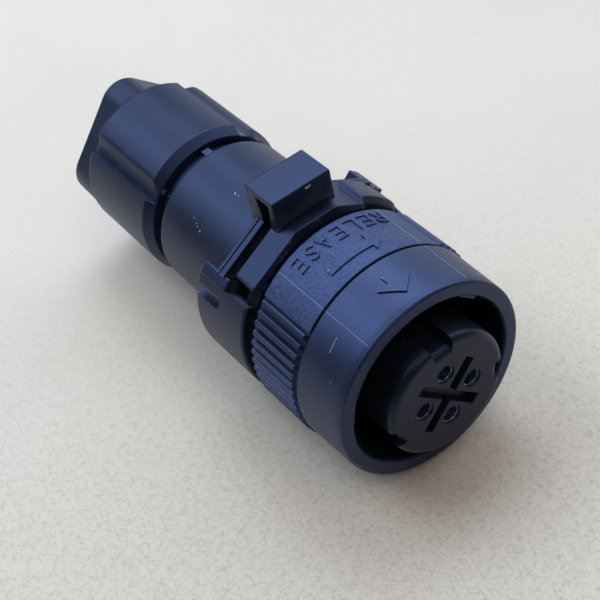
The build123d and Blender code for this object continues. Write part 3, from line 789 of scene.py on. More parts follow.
@dataclass
class CouplingRing(Piece):
    """Bayonet ring: two ribbed grips, a grained panel with raised marks, a front band and inner lugs."""

    length: float = 23.1
    radius: float = 17.85
    band_length: float = 10.8
    draft: float = 0.25
    edge: float = 0.08
    rear_round: float = 0.4
    front_round: float = 0.6
    front_lead: float = 1.2
    mouth_chamfer: float = 0.4
    mouth_round: float = 0.1
    groove_width: float = 0.5
    groove_depth: float = 0.45
    bore: float = 14.9
    journal: float = 14.25
    shoulder: float = 15.5
    fine: float = 0.1
    coarse: float = 1.0
    angle_step: float = 2.0
    angle_pair: float = 0.1
    grip_recess: float = 0.35
    rib_first: float = 49.4
    rib_count: int = 15
    rib_height: float = 0.75
    rib_width: float = 1.25
    rib_crest: float = 0.75
    rib_crest_steps: tuple[float, ...] = (-0.10, -0.02, 0.06)
    rib_ends: Range = (0.65, 0.42)
    rib_end_slope: float = 0.2
    rib_end_runs: Range = (0.4, 0.7)
    rib_sharpness: float = 16.0
    panel_half: float = 32.5
    mark_height: float = 0.26
    mark_sink: float = 0.1
    mark_draft: float = 0.05
    mark_draft_share: float = 0.45
    mark_layer: float = 0.006
    mitre_limit: float = 1.6
    word: str = "RELEASE"
    word_middle: float = -0.6
    word_low: float = -21.5
    letter_pitch: float = 2.66
    letter_width: float = 1.85
    letter_height: float = 2.75
    letter_stroke: float = 0.17
    arrow_overlap: float = 0.4
    head_steps: int = 6
    turn_arrow: tuple[float, float, float] = (17.3, -8.8, -15.6)
    turn_arrow_x: float = -15.05
    turn_arrow_half: Range = (0.95, 2.15)
    turn_arrow_steps: int = 14
    push_arrow: tuple[float, float, float] = (-7.8, -5.9, -2.8)
    push_arrow_half: Range = (3.4, 10.2)
    push_arrow_steps: int = 3
    push_arrow_across: int = 9
    flash_half: float = 0.1
    flash_height: float = 0.06
    flash_scuff: float = 0.25
    flash_rear_gaps: Range = (0.6, 0.1)
    flash_band_gaps: Range = (0.2, 0.3)
    scratch: tuple[Range, Range] = ((12.2, -6.3), (14.6, -6.15))
    scratch_half: float = 0.09
    scratch_scuff: float = 0.7
    scratch_steps: int = 9
    lug_angles: tuple[float, ...] = (-78.5, 41.5, 161.5)
    lug_half: float = 7.5
    lug_flanks: tuple[float, ...] = (-1.0, -0.93, 0.93, 1.0)
    lug_inside: float = 0.97
    lug_height: float = 0.8
    lug_span: Range = (-4.2, -1.2)
    lug_soft: float = 0.1

    @property
    def rib_pitch(self) -> float:
        """Angle from rib to rib, degrees."""
        return (180 - 2 * self.rib_first) / (self.rib_count - 1)

    @property
    def grip_from(self) -> float:
        """Angle at which a grip starts, half a pitch before its first rib, degrees."""
        return self.rib_first - self.rib_pitch / 2

    @property
    def groove_rear(self) -> float:
        """Station of the groove's rear wall."""
        return -self.band_length - self.groove_width

    def angles(self) -> Array:
        """Angles that give each rib its flanks, with close pairs at the ends of grips, panel and lugs.

        Returns:
            Sorted angles, radians.
        """
        crest = self.rib_crest / self.rib_width
        flank = np.array([0.0, *(crest + step for step in self.rib_crest_steps), (crest + 1) / 2, 1.0])
        off = np.degrees(self.rib_width / 2 / self.radius) * np.concatenate([-flank, flank])
        ribs = self.rib_first + self.rib_pitch * np.arange(self.rib_count)[:, None] + off
        ends = np.array([self.grip_from, 180 - self.grip_from, self.panel_half])[:, None]
        ends = ends + self.angle_pair * np.array([-1, 1])
        lugs = np.array(self.lug_angles)[:, None] + self.lug_half * np.array(self.lug_flanks)
        one_side = np.concatenate([ribs.reshape(-1), ends.reshape(-1)])
        even = samples((-180, 180 - self.angle_step, self.angle_step))
        every = np.concatenate([one_side, -one_side, even, (lugs.reshape(-1) + 180) % 360 - 180])
        return np.radians(np.unique(np.round(every, 3)))

    def skin(self, x: Array) -> Array:
        """Radius of the outside at stations x: straight at the rear, narrowing evenly over the front band."""
        return self.radius - self.draft * np.clip(x / self.band_length + 1.0, 0.0, 1.0)

    def section(self) -> tuple[Array, Array]:
        """The ring's section before grips and lugs.

        Returns:
            Points (x, radius) and the value of each point's zone.
        """
        rear, front, top = -self.length, -self.band_length, self.radius
        tip, groove_low = top - self.draft, top - self.groove_depth
        start = rear + self.rear_round + self.fine
        ribs_from, ribs_to = start + self.rib_end_runs[0], self.groove_rear - self.rib_end_runs[1]
        lug_rear, lug_front = self.lug_span[0] - self.fine, self.lug_span[1] + self.fine
        x_rear = samples((start, ribs_from, self.fine), (ribs_from, ribs_to, self.coarse),
                         (ribs_to, self.groove_rear - self.edge, self.fine))
        x_front = samples((front + self.edge, -self.front_round - 2 * self.fine, self.coarse))
        x_bore = samples((-self.mouth_chamfer - self.fine, lug_front, 3 * self.fine),
                         (lug_rear, lug_front, self.fine), (lug_rear, -self.shoulder, self.coarse))[::-1]
        rear_edge = rounded_loop([(rear, self.journal), (rear, top, self.rear_round), (start, top)])[1:-1]
        mouth = rounded_loop([(-self.front_lead, tip), (0.0, tip, self.front_round),
                              (0.0, self.bore + self.mouth_chamfer, self.mouth_round),
                              (-self.mouth_chamfer, self.bore)])[1:-1]
        runs = [
            ([(rear, self.journal)], Zone.PLAIN),
            (rear_edge, Zone.REAR_SKIN),
            (np.stack([x_rear, np.full_like(x_rear, top)], 1), Zone.REAR_SKIN),
            ([(self.groove_rear, top - self.edge)], Zone.REAR_SKIN),
            ([(self.groove_rear, groove_low), (front, groove_low), (front, top - self.edge)], Zone.PLAIN),
            (np.stack([x_front, self.skin(x_front)], 1), Zone.PLAIN),
            (mouth, Zone.PLAIN),
            (np.stack([x_bore, np.full_like(x_bore, self.bore)], 1), Zone.BORE),
            ([(-self.shoulder, self.journal)], Zone.PLAIN)]
        points = np.concatenate([run for run, _ in runs])
        zones = np.concatenate([np.full(len(run), zone.value) for run, zone in runs])
        return points, zones

    def ribs(self, x: Array, angle: Array) -> Array:
        """Height of the grip ribs over the recess: the lesser of a flat crest and straight flanks, eased.

        Args:
            x: stations, mm.
            angle: angles, radians.

        Returns:
            Heights, mm.
        """
        turn = np.abs(np.degrees(angle))
        nearest = np.clip(np.round((turn - self.rib_first) / self.rib_pitch), 0, self.rib_count - 1)
        off = np.radians(np.abs(turn - self.rib_first - nearest * self.rib_pitch)) * self.radius
        flank = self.rib_height * (self.rib_width / 2 - off) / ((self.rib_width - self.rib_crest) / 2)
        height = soft_least(self.rib_sharpness, np.full_like(flank, self.rib_height), flank)
        rear, front = -self.length + self.rib_ends[0], self.groove_rear - self.rib_ends[1]
        return np.maximum(height, 0.0) * band(rear, front, self.rib_end_slope, x)

    def raised(self, low: Array, high: Array, height: float, across: int = 2, **marks: float) -> Surface:
        """A raised mark between two edges drawn on the skin.

        Each station's section starts under the skin at one edge, goes up a wall that leans in by the
        draft, over the top in equal steps and down the other wall. The radius is the skin's plus the height.

        Args:
            low: one edge as rows of (arc, x), mm.
            high: the other edge, with as many rows.
            height: rise above the skin, mm.
            across: points over the top.
            marks: values kept as mesh marks all over the surface.

        Returns:
            The closed surface.
        """
        width = np.maximum(np.linalg.norm(high - low, axis=1, keepdims=True), TINY)
        lean = (high - low) / width * np.minimum(self.mark_draft, self.mark_draft_share * width)
        share = np.linspace(0.0, 1.0, across)[None, :, None]
        top = (low + lean)[:, None] * (1 - share) + (high - lean)[:, None] * share
        flat = np.concatenate([low[:, None], top, high[:, None]], axis=1)
        rise = np.concatenate([[-self.mark_sink], np.full(across, height), [-self.mark_sink]])
        arc, x = flat[..., 0], flat[..., 1]
        points = self.axis.place(x, -arc / self.radius, self.skin(x) + rise)
        kept = {name: np.full(arc.shape, value) for name, value in marks.items()}
        return Surface(points, capped=True, marks=kept)

    def stroke(self, line: Polyline, half: float, height: float, **marks: float) -> Surface:
        """A raised stroke along a polyline on the skin, with mitred corners and square ends.

        Args:
            line: points (arc, x), mm.
            half: half the stroke's width, mm.
            height: rise above the skin, mm.
            marks: values kept as mesh marks.

        Returns:
            The closed surface.
        """
        points = np.array(line, float)
        run = np.diff(points, axis=0)
        run /= np.linalg.norm(run, axis=1, keepdims=True)
        points[0] -= half * run[0]
        points[-1] += half * run[-1]
        side = np.stack([-run[:, 1], run[:, 0]], 1)
        before, after = np.concatenate([side[:1], side]), np.concatenate([side, side[-1:]])
        mitre = (before + after) / (1 + np.sum(before * after, axis=1, keepdims=True))
        mitre *= np.minimum(1.0, self.mitre_limit / np.linalg.norm(mitre, axis=1, keepdims=True))
        return self.raised(points - half * mitre, points + half * mitre, height, **marks)

    def lettering(self) -> list[Surface]:
        """The word across the panel, stroke by stroke, each later stroke of a letter a hair lower.

        Returns:
            One surface for each stroke.
        """
        start = self.word_middle - (len(self.word) - 1) / 2 * self.letter_pitch - self.letter_width / 2
        made = []
        for place, letter in enumerate(self.word):
            left = start + place * self.letter_pitch
            lines = Glyph[letter].strokes(left, self.word_low, self.letter_width, self.letter_height)
            for k, line in enumerate(lines):
                height = self.mark_height - self.mark_layer * k
                made.append(self.stroke(line, self.letter_stroke, height, panel=1.0))
        return made

    def arrow(self, ends: Sequence[float], half: Sequence[float],
              steps: int) -> list[tuple[Array, Array, float]]:
        """Work out an arrow's shaft, a hair lower and running into its head, and the head.

        The head's half width falls evenly from its neck to nothing at its tip.

        Args:
            ends: places of tail, neck and tip along the arrow, mm.
            half: half widths of the shaft and of the head's neck, mm.
            steps: stations along the shaft.

        Returns:
            For shaft and head: stations, half widths and height, mm.
        """
        (tail, neck, tip), (shaft_half, neck_half) = ends, half
        shaft_end = neck + np.sign(tip - neck) * self.arrow_overlap
        shaft = np.linspace(tail, shaft_end, steps), np.full(steps, shaft_half)
        head = np.linspace(neck, tip, self.head_steps), np.linspace(neck_half, 0.0, self.head_steps)
        return [(*shaft, self.mark_height - self.mark_layer), (*head, self.mark_height)]

    def arrows(self) -> list[Surface]:
        """The turning arrow along the panel and the push arrow across the band.

        Returns:
            Two surfaces for each arrow.
        """
        degree = self.radius * pi / 180
        turn_ends = [turn * degree for turn in self.turn_arrow]
        push_half = [turn * degree for turn in self.push_arrow_half]
        made = []
        for arc, half, height in self.arrow(turn_ends, self.turn_arrow_half, self.turn_arrow_steps):
            edges = [np.stack([arc, self.turn_arrow_x + side * half], 1) for side in (-1, 1)]
            made.append(self.raised(*edges, height, panel=1.0))
        for x, half, height in self.arrow(self.push_arrow, push_half, self.push_arrow_steps):
            edges = [np.stack([side * half, x], 1) for side in (-1, 1)]
            made.append(self.raised(*edges, height, self.push_arrow_across, bare=1.0))
        return made

    def flash(self) -> list[Surface]:
        """Thin mould lines beside the panel, on the rear and on the front band, and one light scratch.

        Returns:
            One surface for each line.
        """
        scratch = np.linspace(*self.scratch, self.scratch_steps)
        made = [self.stroke(scratch, self.scratch_half, self.flash_height, scuff=self.scratch_scuff)]
        rear = -self.length + self.flash_rear_gaps[0], self.groove_rear - self.flash_rear_gaps[1]
        front = -self.band_length + self.flash_band_gaps[0], -self.front_round - self.flash_band_gaps[1]
        for side in (-1, 1):
            arc = side * np.radians(self.panel_half) * self.radius
            made.extend(self.stroke([(arc, low), (arc, high)], self.flash_half, self.flash_height,
                                    scuff=self.flash_scuff) for low, high in (rear, front))
        return made

    def build(self, finishes: Finishes) -> None:
        """Make the ring: its section all round, with ribs raised on the grips and lugs in the bore.

        Args:
            finishes: the plug's finishes.
        """
        points, zones = self.section()
        angle = self.angles()[None]
        x, zone = points[:, :1], zones[:, None]
        turn = np.degrees(angle)
        grip = (np.abs(turn) > self.grip_from) & (np.abs(turn) < 180 - self.grip_from)
        lug_turn = np.min([np.abs((turn - a + 180) % 360 - 180) for a in self.lug_angles], axis=0)
        lug = band(*self.lug_span, self.lug_soft, x) * (lug_turn < self.lug_half * self.lug_inside)
        rear_skin = zone == Zone.REAR_SKIN.value
        radius = points[:, 1:] + np.where(rear_skin & grip, self.ribs(x, angle) - self.grip_recess, 0.0)
        radius = radius - np.where(zone == Zone.BORE.value, self.lug_height * lug, 0.0)
        panel = np.where(rear_skin, 1.0, 0.0) * (np.abs(turn) < self.grip_from)
        body = Surface(self.axis.place(x, angle, radius), closed_rows=True, marks={"panel": panel})
        self.make("bayonet_ring", [body, *self.lettering(), *self.arrows(), *self.flash()],
                  "coupling_ring", "black_plastic", finishes.ring, "coupling_ring")


@dataclass
class RearShell(Piece):
    """Body tube with its flange, snap ring groove, wiring chamber, spigot and index rib."""

    radius: float = TUBE_RADIUS
    rear: float = -56.8
    rear_round: float = 0.7
    flange: Range = (-15.2, -13.5)
    flange_radius: float = 14.5
    flange_round: float = 0.2
    groove: Range = (-24.6, -23.3)
    groove_radius: float = 13.2
    spigot_rear: float = -79.0
    spigot_radius: float = 12.2
    spigot_round: float = 0.6
    seal_bore: float = 10.1
    seal_front: float = -59.6
    neck_bore: float = 8.4
    chamber: Range = (-54.0, -18.0)
    chamber_radius: float = 11.2
    insert_bore: float = 12.3
    rib_ends: Range = (-1.9, 0.4)
    rib_drops: Range = (1.1, 0.6)
    rib_half: float = 0.8
    rib_corner: float = 0.1
    rib_round: float = 0.12
    columns: int = 240

    def build(self, finishes: Finishes) -> None:
        """Make the shell: its section turned round the axis, and the rib behind it.

        Args:
            finishes: the plug's finishes.
        """
        r = self.radius
        flange_rear, flange_front = self.flange
        groove_rear, groove_front = self.groove
        chamber_rear, chamber_front = self.chamber
        tube = self.turned([
            (flange_front, self.insert_bore), (flange_front, self.flange_radius, self.flange_round),
            (flange_rear, self.flange_radius, self.flange_round), (flange_rear, r),
            (groove_front, r), (groove_front, self.groove_radius), (groove_rear, self.groove_radius),
            (groove_rear, r), (self.rear, r, self.rear_round), (self.rear, self.spigot_radius),
            (self.spigot_rear, self.spigot_radius, self.spigot_round), (self.spigot_rear, self.seal_bore),
            (self.seal_front, self.seal_bore), (self.seal_front, self.neck_bore),
            (chamber_rear, self.neck_bore), (chamber_rear, self.chamber_radius),
            (chamber_front, self.chamber_radius), (chamber_front, self.insert_bore)], self.columns)
        rib_rear, rib_front = (self.rear + end for end in self.rib_ends)
        rib_low, rib_high = (r - drop for drop in self.rib_drops)
        rib = self.slab(rounded_loop([(rib_rear, rib_low), (rib_rear, rib_high, self.rib_corner),
                                      (rib_front, rib_high), (rib_front, rib_low)]),
                        self.rib_half, self.rib_round)
        self.make("body_tube", [tube, rib], "plug_body", "black_plastic", finishes.plastic, "rear_shell")


@dataclass
class ContactInsert(Piece):
    """Insulator nose: keyways, cross recess, contact holes and small contact numbers."""

    face: float = 3.92
    radius: float = 11.1
    edge: float = 1.2
    rear: float = -24.0
    flange: float = 12.2
    flange_span: Range = (-18.0, -15.6)
    side_rear: float = -13.5
    side_step: float = 1.2
    keyway_half: float = 2.1
    keyway_depth: float = 1.8
    notch_half: float = 1.8
    notch_depth: float = 1.2
    notch_angle: float = 102.0
    keyway_rear: float = -11.7
    circle: float = CONTACT_CIRCLE
    hole: float = 1.55
    hole_chamfer: float = 0.17
    hole_depth: float = 13.0
    hole_soft: float = 0.06
    hole_columns: int = 64
    funnel_depth: float = 0.2
    lining_depth: float = 1.25
    lining_wall: float = 0.43
    lining_proud: float = 0.02
    lining_rounds: Range = (0.03, 0.05)
    arm_half: float = 0.85
    arm_reach: float = 6.7
    arm_edge: Range = (0.12, -0.20)
    cross_depth: float = 1.6
    digit_circle: float = 7.7
    digit_size: Range = (0.85, 1.2)
    digit_rise: float = 0.06
    digit_edge: Range = (0.20, 0.10)
    columns: int = 480
    edge_rows: int = 8
    face_rows: int = 100

    def rim(self, angle: Array) -> Array:
        """Radius of the nose, flat-bottomed where a keyway is cut: a flat at distance d gives d / cos.

        Args:
            angle: angles, radians.

        Returns:
            Radii, mm.
        """
        notch = radians(self.notch_angle)
        radius = np.full_like(angle, self.radius)
        for centre, half, depth in ((0.0, self.keyway_half, self.keyway_depth),
                                    (notch, self.notch_half, self.notch_depth),
                                    (-notch, self.notch_half, self.notch_depth)):
            across, towards = np.abs(np.sin(angle - centre)), np.cos(angle - centre)
            inside = (across * self.radius < half) & (towards > 0.0)
            floor = (self.radius - depth) / np.where(inside, towards, 1.0)
            radius = np.where(inside, np.minimum(radius, floor), radius)
        return radius

    def face_depth(self, y: Array, z: Array) -> Array:
        """How far the front face lies back: a cross of two square-ended arms, the holes, raised numbers.

        Args:
            y: places across the face, mm.
            z: places up the face, mm.

        Returns:
            Depths, mm, negative where a number stands out.
        """
        depth = np.zeros_like(y)
        for turn in (pi / 4, -pi / 4):
            across = np.abs(y * cos(turn) - z * sin(turn)) - self.arm_half
            along = np.abs(y * sin(turn) + z * cos(turn)) - self.arm_reach
            depth = np.maximum(depth, self.cross_depth * smooth(*self.arm_edge, np.maximum(across, along)))
        mouth = self.hole + self.hole_chamfer
        for number, digit in enumerate((Glyph.ONE, Glyph.TWO, Glyph.THREE, Glyph.FOUR)):
            out = np.array([sin(number * pi / 2), cos(number * pi / 2)])
            away = np.hypot(y - self.circle * out[0], z - self.circle * out[1])
            hole = smooth(mouth + self.hole_soft, mouth - self.hole_soft, away)
            depth = np.maximum(depth, self.hole_depth * hole)
            corner = self.digit_circle * out - np.array(self.digit_size) / 2
            strokes = digit.strokes(*corner, *self.digit_size)
            depth = depth - self.digit_rise * smooth(*self.digit_edge, segments_distance(y, z, strokes))
        return depth

    def hole_rims(self) -> list[Surface]:
        """A round lining in each contact hole, with a chamfered mouth a hair above the face.

        Returns:
            One surface for each hole.
        """
        proud, inner, outer = self.face + self.lining_proud, self.hole, self.hole + self.lining_wall
        outer_round, mouth_round = self.lining_rounds
        section = [(proud, outer, outer_round), (proud, inner + self.hole_chamfer, mouth_round),
                   (self.face - self.funnel_depth, inner), (self.face - self.lining_depth, inner),
                   (self.face - self.lining_depth, outer)]
        turns = [2 * pi * k / CONTACT_COUNT for k in range(CONTACT_COUNT)]
        return [self.turned(section, self.hole_columns, True, (self.circle * sin(t), self.circle * cos(t)))
                for t in turns]

    def build(self, finishes: Finishes) -> None:
        """Make the insert: rows from its rear over flange, side and round edge to the face's middle.

        Args:
            finishes: the plug's finishes.
        """
        angle = np.linspace(-pi, pi, self.columns, endpoint=False)[None]
        rim = self.rim(angle)
        x_side = samples((self.side_rear, self.face - self.edge - GUARD_MM, self.side_step))[:, None]
        side = np.where(x_side > self.keyway_rear, rim, self.radius)
        arc = np.linspace(0.0, pi / 2, self.edge_rows)[:, None]
        x_edge = self.face - self.edge * (1 - np.sin(arc))
        r_face = (rim - self.edge) * np.linspace(1.0, 0.0, self.face_rows)[1:, None]
        x_face = self.face - self.face_depth(r_face * np.sin(angle), r_face * np.cos(angle))
        flange_rear, flange_front = self.flange_span
        back = np.array([(self.rear, 0.0), (self.rear, self.radius), (flange_rear, self.radius),
                         (flange_rear, self.flange), (flange_front, self.flange),
                         (flange_front, self.radius)])
        rows = [(back[:, :1], back[:, 1:]), (x_side, side), (x_edge, rim - self.edge * (1 - np.cos(arc))),
                (x_face, r_face)]
        self.make("insulator_nose", [self.stacked(rows, angle, False), *self.hole_rims()], "plug_body",
                  "black_plastic", finishes.face, "contact_insert")


@dataclass
class SocketContacts(Piece):
    """Four turned socket contacts with wire barrels."""

    circle: float = CONTACT_CIRCLE
    tip: float = 3.5
    tip_rounds: Range = (0.03, 0.02)
    bore: float = 1.25
    bore_rear: float = -7.1
    flare: float = 1.43
    flare_rear: float = 1.6
    lip: float = 1.51
    lip_rear: float = 2.6
    lip_root: float = 1.52
    body: float = 1.85
    collar: Range = (-24.0, -17.2)
    collar_radius: float = 2.6
    collar_round: float = 0.1
    barrel_rear: float = -33.0
    barrel_radius: float = 2.4
    barrel_round: float = 0.2
    wire_bore: float = 1.5
    wire_front: float = -25.5
    columns: int = 48

    def build(self, finishes: Finishes) -> None:
        """Make the contacts, each in its own place: one section, from pole to pole, turned.

        Args:
            finishes: the plug's finishes.
        """
        collar_rear, collar_front = self.collar
        section = [
            (self.bore_rear, 0.0), (self.bore_rear, self.bore), (self.flare_rear, self.bore),
            (self.tip, self.flare, self.tip_rounds[0]), (self.tip, self.lip, self.tip_rounds[1]),
            (self.lip_rear, self.lip_root), (self.lip_rear, self.body), (collar_front, self.body),
            (collar_front, self.collar_radius, self.collar_round),
            (collar_rear, self.collar_radius, self.collar_round), (collar_rear, self.barrel_radius),
            (self.barrel_rear, self.barrel_radius, self.barrel_round), (self.barrel_rear, self.wire_bore),
            (self.wire_front, self.wire_bore), (self.wire_front, 0.0)]
        for k in range(CONTACT_COUNT):
            turn = 2 * pi * k / CONTACT_COUNT
            beside = self.circle * sin(turn), self.circle * cos(turn)
            contact = self.turned(section, self.columns, False, beside)
            self.make(f"socket_{k + 1}", [contact], "plug_body", "contact_brass", finishes.plated,
                      f"socket_contact_{k + 1}")


@dataclass
class LatchCollar(Piece):
    """Collar: sleeve, skirt with scoops, tabs, rail, front paddle with shoulder, and hollow bridge."""

    front: float = -25.2
    rear: float = -38.5
    turn_step: float = 1.5
    skirt_radius: float = 18.2
    skirt_inner: float = 16.4
    skirt_angle: float = 58.0
    skirt_steps: int = 150
    skirt_rounds: Range = (0.3, 0.55)
    front_wall: float = 1.4
    flat_half: float = 2.5
    sleeve: Range = (14.05, 15.45)
    sleeve_length: float = 8.0
    sleeve_round: float = 0.2
    sleeve_weld: float = 0.4
    inner: float = 15.95
    top_facet: float = 18.35
    side_facet: float = 17.9
    side_angle: float = 30.0
    facet_limit: float = 1.2
    facet_sharpness: float = 14.0
    rail: Range = (-33.5, -31.4)
    rail_end: float = 52.0
    rail_rear_strip: float = 0.7
    rail_groove: float = 0.25
    rail_groove_depth: float = 0.5
    rail_groove_lap: float = 0.2
    rail_drop: float = 0.1
    rail_round: float = 0.12
    paddle_rear: float = -29.5
    paddle_front: float = -24.25
    paddle_left: float = -48.5
    paddle_rounds: tuple[float, float, float] = (0.1, 0.15, 0.2)
    paddle_end: float = 2.2
    paddle_end_step: float = 0.3
    paddle_end_drop: float = 0.7
    paddle_end_back: float = 0.6
    paddle_end_ahead: float = 0.3
    slot_end: float = 21.0
    slot_pair: float = 0.1
    slot_gap: float = 0.1
    slope_low: float = 17.3
    slope_run: float = 0.5
    slope_edge: float = 0.15
    shoulder_from: float = 29.2
    shoulder_to: float = 31.4
    shoulder_margin: float = 1.0
    shoulder_step: float = 0.4
    shoulder_radius: float = 18.75
    shoulder_front: float = -25.0
    shoulder_round: float = 0.85
    shoulder_edge: float = 0.5
    shoulder_end: float = 62.0
    shoulder_sink: Range = (9.0, 1.0)
    under_skirt: float = 0.02
    behind_skirt: float = 0.05
    strip_margins: Range = (1.0, 1.5)
    strip_step: float = 1.0
    strip_back: Range = (1.2, 0.9)
    strip_radii: Range = (17.4, 16.3)
    strip_rounds: Range = (0.1, 0.2)
    scoop_angle: float = 69.0
    scoop_half: float = 1.15
    scoop_length: float = 6.4
    scoop_steps: tuple[float, ...] = (0.0, 0.4, 0.7, 0.9, 0.98, 1.0, 1.02)
    tab_angle: float = 55.25
    tab_lean: float = 43.0
    tab_half: Range = (1.15, 1.3)
    tab_radius: float = 17.85
    tab_length: float = 6.8
    tab_from_rear: float = 1.6
    tab_round: float = 0.3
    bridge_half: float = 5.75
    bridge_top: float = 23.2
    bridge_rear: float = -35.1
    bridge_front: float = BRIDGE_FRONT
    bridge_wall: float = 1.1
    bridge_end_round: float = 0.25
    bridge_top_round: float = 0.4
    bridge_inner_round: float = 0.3
    bridge_foot: float = 14.8
    bridge_foot_front: float = -33.9
    bridge_sill: float = 16.4
    bridge_slope_low: float = 17.6
    bridge_slopes: Range = (2.9, 1.2)

    def facets(self, degrees: Array) -> Array:
        """Radius of the flat facets over the top: the nearest of three planes, its corners eased.

        Args:
            degrees: angles from the top.

        Returns:
            Radii, mm.
        """
        turn = np.abs(np.radians(degrees))
        top = self.top_facet / np.cos(np.minimum(turn, self.facet_limit))
        side = self.side_facet / np.cos(turn - radians(self.side_angle))
        return soft_least(self.facet_sharpness, top, side)

    def skirt(self) -> Surface:
        """The skirt: a thick sheet whose rear edge runs in at the scoops, with its front wall.

        A scoop's end is a half circle, and the flat under the skirt is a plane at distance d: d / cos.

        Returns:
            The closed surface.
        """
        half = np.degrees(self.scoop_half / self.skirt_radius)
        scoop = np.array(self.scoop_steps) * half
        scoop = self.scoop_angle + np.concatenate([-scoop, scoop])
        low = np.degrees(np.arcsin(self.flat_half / self.skirt_radius))
        even = np.linspace(self.skirt_angle, 360 - self.skirt_angle, self.skirt_steps)
        turn = np.concatenate([even, scoop, 360 - scoop, [180 - low, 180 + low]])
        turn = np.unique(np.round(turn, 3))
        off = np.minimum(np.abs(turn - self.scoop_angle), np.abs(turn - 360 + self.scoop_angle)) / half
        round_end = np.sqrt(np.clip(1 - off ** 2, 0.0, 1.0)) * self.scoop_half
        rear = np.where(off <= 1.0, self.rear + self.scoop_length - self.scoop_half + round_end, self.rear)
        under = np.abs(turn - 180) <= low + TINY
        flat = sqrt(self.skirt_radius ** 2 - self.flat_half ** 2)
        flat = flat / np.where(under, -np.cos(np.radians(turn)), 1.0)
        outer = np.where(under, np.minimum(self.skirt_radius, flat), self.skirt_radius)
        inner_round, outer_round = self.skirt_rounds
        weld, wall = self.sleeve[1] - self.sleeve_weld, self.front - self.front_wall
        loops = rounded_loop([(rear, self.skirt_inner, inner_round), (rear, outer, outer_round),
                              (self.front, outer, outer_round), (self.front, weld), (wall, weld),
                              (wall, self.skirt_inner)])
        return self.swept(loops, turn)

    def plate(self) -> Surface:
        """The paddle: facets from its round left end, rising on the right to the shoulder.

        Past the shoulder its radius and its front edge ease to those of the skirt. Its front slopes down to
        one radius, and at the shoulder by as much as it runs.

        Returns:
            The closed surface.
        """
        left = self.paddle_left + self.paddle_end
        turn = samples((self.paddle_left, left, self.paddle_end_step),
                       (left, self.shoulder_end, self.turn_step),
                       (self.shoulder_from - self.shoulder_margin, self.shoulder_to + self.shoulder_margin,
                        self.shoulder_step),
                       (self.slot_end - self.slot_pair, self.slot_end + self.slot_pair, self.slot_pair))
        rise = smooth(self.shoulder_from, self.shoulder_to, turn)
        sink_from, sink_to = (self.shoulder_end - before for before in self.shoulder_sink)
        sink = smooth(sink_from, sink_to, turn)
        fall = 1.0 - np.sqrt(1.0 - np.clip((left - turn) / self.paddle_end, 0.0, 1.0) ** 2)
        outer = self.facets(turn) * (1 - rise) + self.shoulder_radius * rise
        outer = outer + (self.skirt_radius - self.shoulder_radius - self.under_skirt) * sink
        outer = outer - self.paddle_end_drop * fall
        front = self.paddle_front + (self.shoulder_front - self.paddle_front) * rise
        front = front + (self.front - self.behind_skirt - self.shoulder_front) * sink
        front = front - self.paddle_end_back * fall
        rear = np.where(turn > self.slot_end, self.rail[1] - self.slot_gap, self.paddle_rear)
        rear = rear + self.paddle_end_ahead * fall
        drop = (outer - self.slope_low) * (1 - rise) + self.shoulder_round * rise
        run = self.slope_run * (1 - rise) + self.shoulder_round * rise
        edge = self.slope_edge + (self.shoulder_edge - self.slope_edge) * rise
        foot_round, rear_round, front_round = self.paddle_rounds
        loops = rounded_loop([(rear, self.inner, foot_round), (rear, outer, rear_round),
                              (front - run, outer, edge), (front, outer - drop, edge),
                              (front, self.inner, front_round)])
        return self.swept(loops, turn)

    def strip(self) -> Surface:
        """The low sloping strip that closes the collar's front beside the paddle's left end.

        Returns:
            The closed surface.
        """
        turn = samples((-self.skirt_angle - self.strip_margins[0], self.paddle_left + self.strip_margins[1],
                        self.strip_step))
        rear, crest = (self.front - back for back in self.strip_back)
        high, low = self.strip_radii
        loop = rounded_loop([(rear, self.inner), (rear, high, self.strip_rounds[0]),
                             (crest, high, self.strip_rounds[1]), (self.front, low),
                             (self.front, self.inner)])
        return self.swept(np.repeat(loop[None], len(turn), axis=0), turn)

    def rails(self) -> list[Surface]:
        """The rail's two strips from tab to tab, with a narrow groove between them.

        Returns:
            The strips and the groove's floor.
        """
        turn = samples((-self.rail_end, self.rail_end, self.turn_step))
        rear, front = self.rail
        split = rear + self.rail_rear_strip
        split_front = split + self.rail_groove
        made = []
        for a, b, drop in ((rear, split, self.rail_drop), (split_front, front, 0.0),
                           (split - self.rail_groove_lap, split_front + self.rail_groove_lap,
                            self.rail_groove_depth)):
            outer = self.facets(turn) - drop
            loops = rounded_loop([(a, self.inner), (a, outer, self.rail_round), (b, outer, self.rail_round),
                                  (b, self.inner)])
            made.append(self.swept(loops, turn))
        return made

    def bridge(self) -> Surface:
        """The bridge: an arch-shaped outline (x, z) carried across, its inner walls sloping to the slot.

        Returns:
            The closed surface.
        """
        rear, front, top = self.bridge_rear, self.bridge_front, self.bridge_top
        slot_rear, slot_front = self.rail[1], self.paddle_rear
        under, sill, low = top - self.bridge_wall, self.bridge_sill, self.bridge_slope_low
        outside, inside = self.bridge_top_round, self.bridge_inner_round
        arch = rounded_loop([
            (rear, self.bridge_foot, inside), (rear, top, outside), (front, top, outside), (front, sill),
            (slot_front, sill), (slot_front, low), (front - self.bridge_slopes[1], under, inside),
            (rear + self.bridge_slopes[0], under, inside), (slot_rear, low), (slot_rear, sill),
            (self.bridge_foot_front, sill), (self.bridge_foot_front, self.bridge_foot)])
        return self.slab(arch, self.bridge_half, self.bridge_end_round)

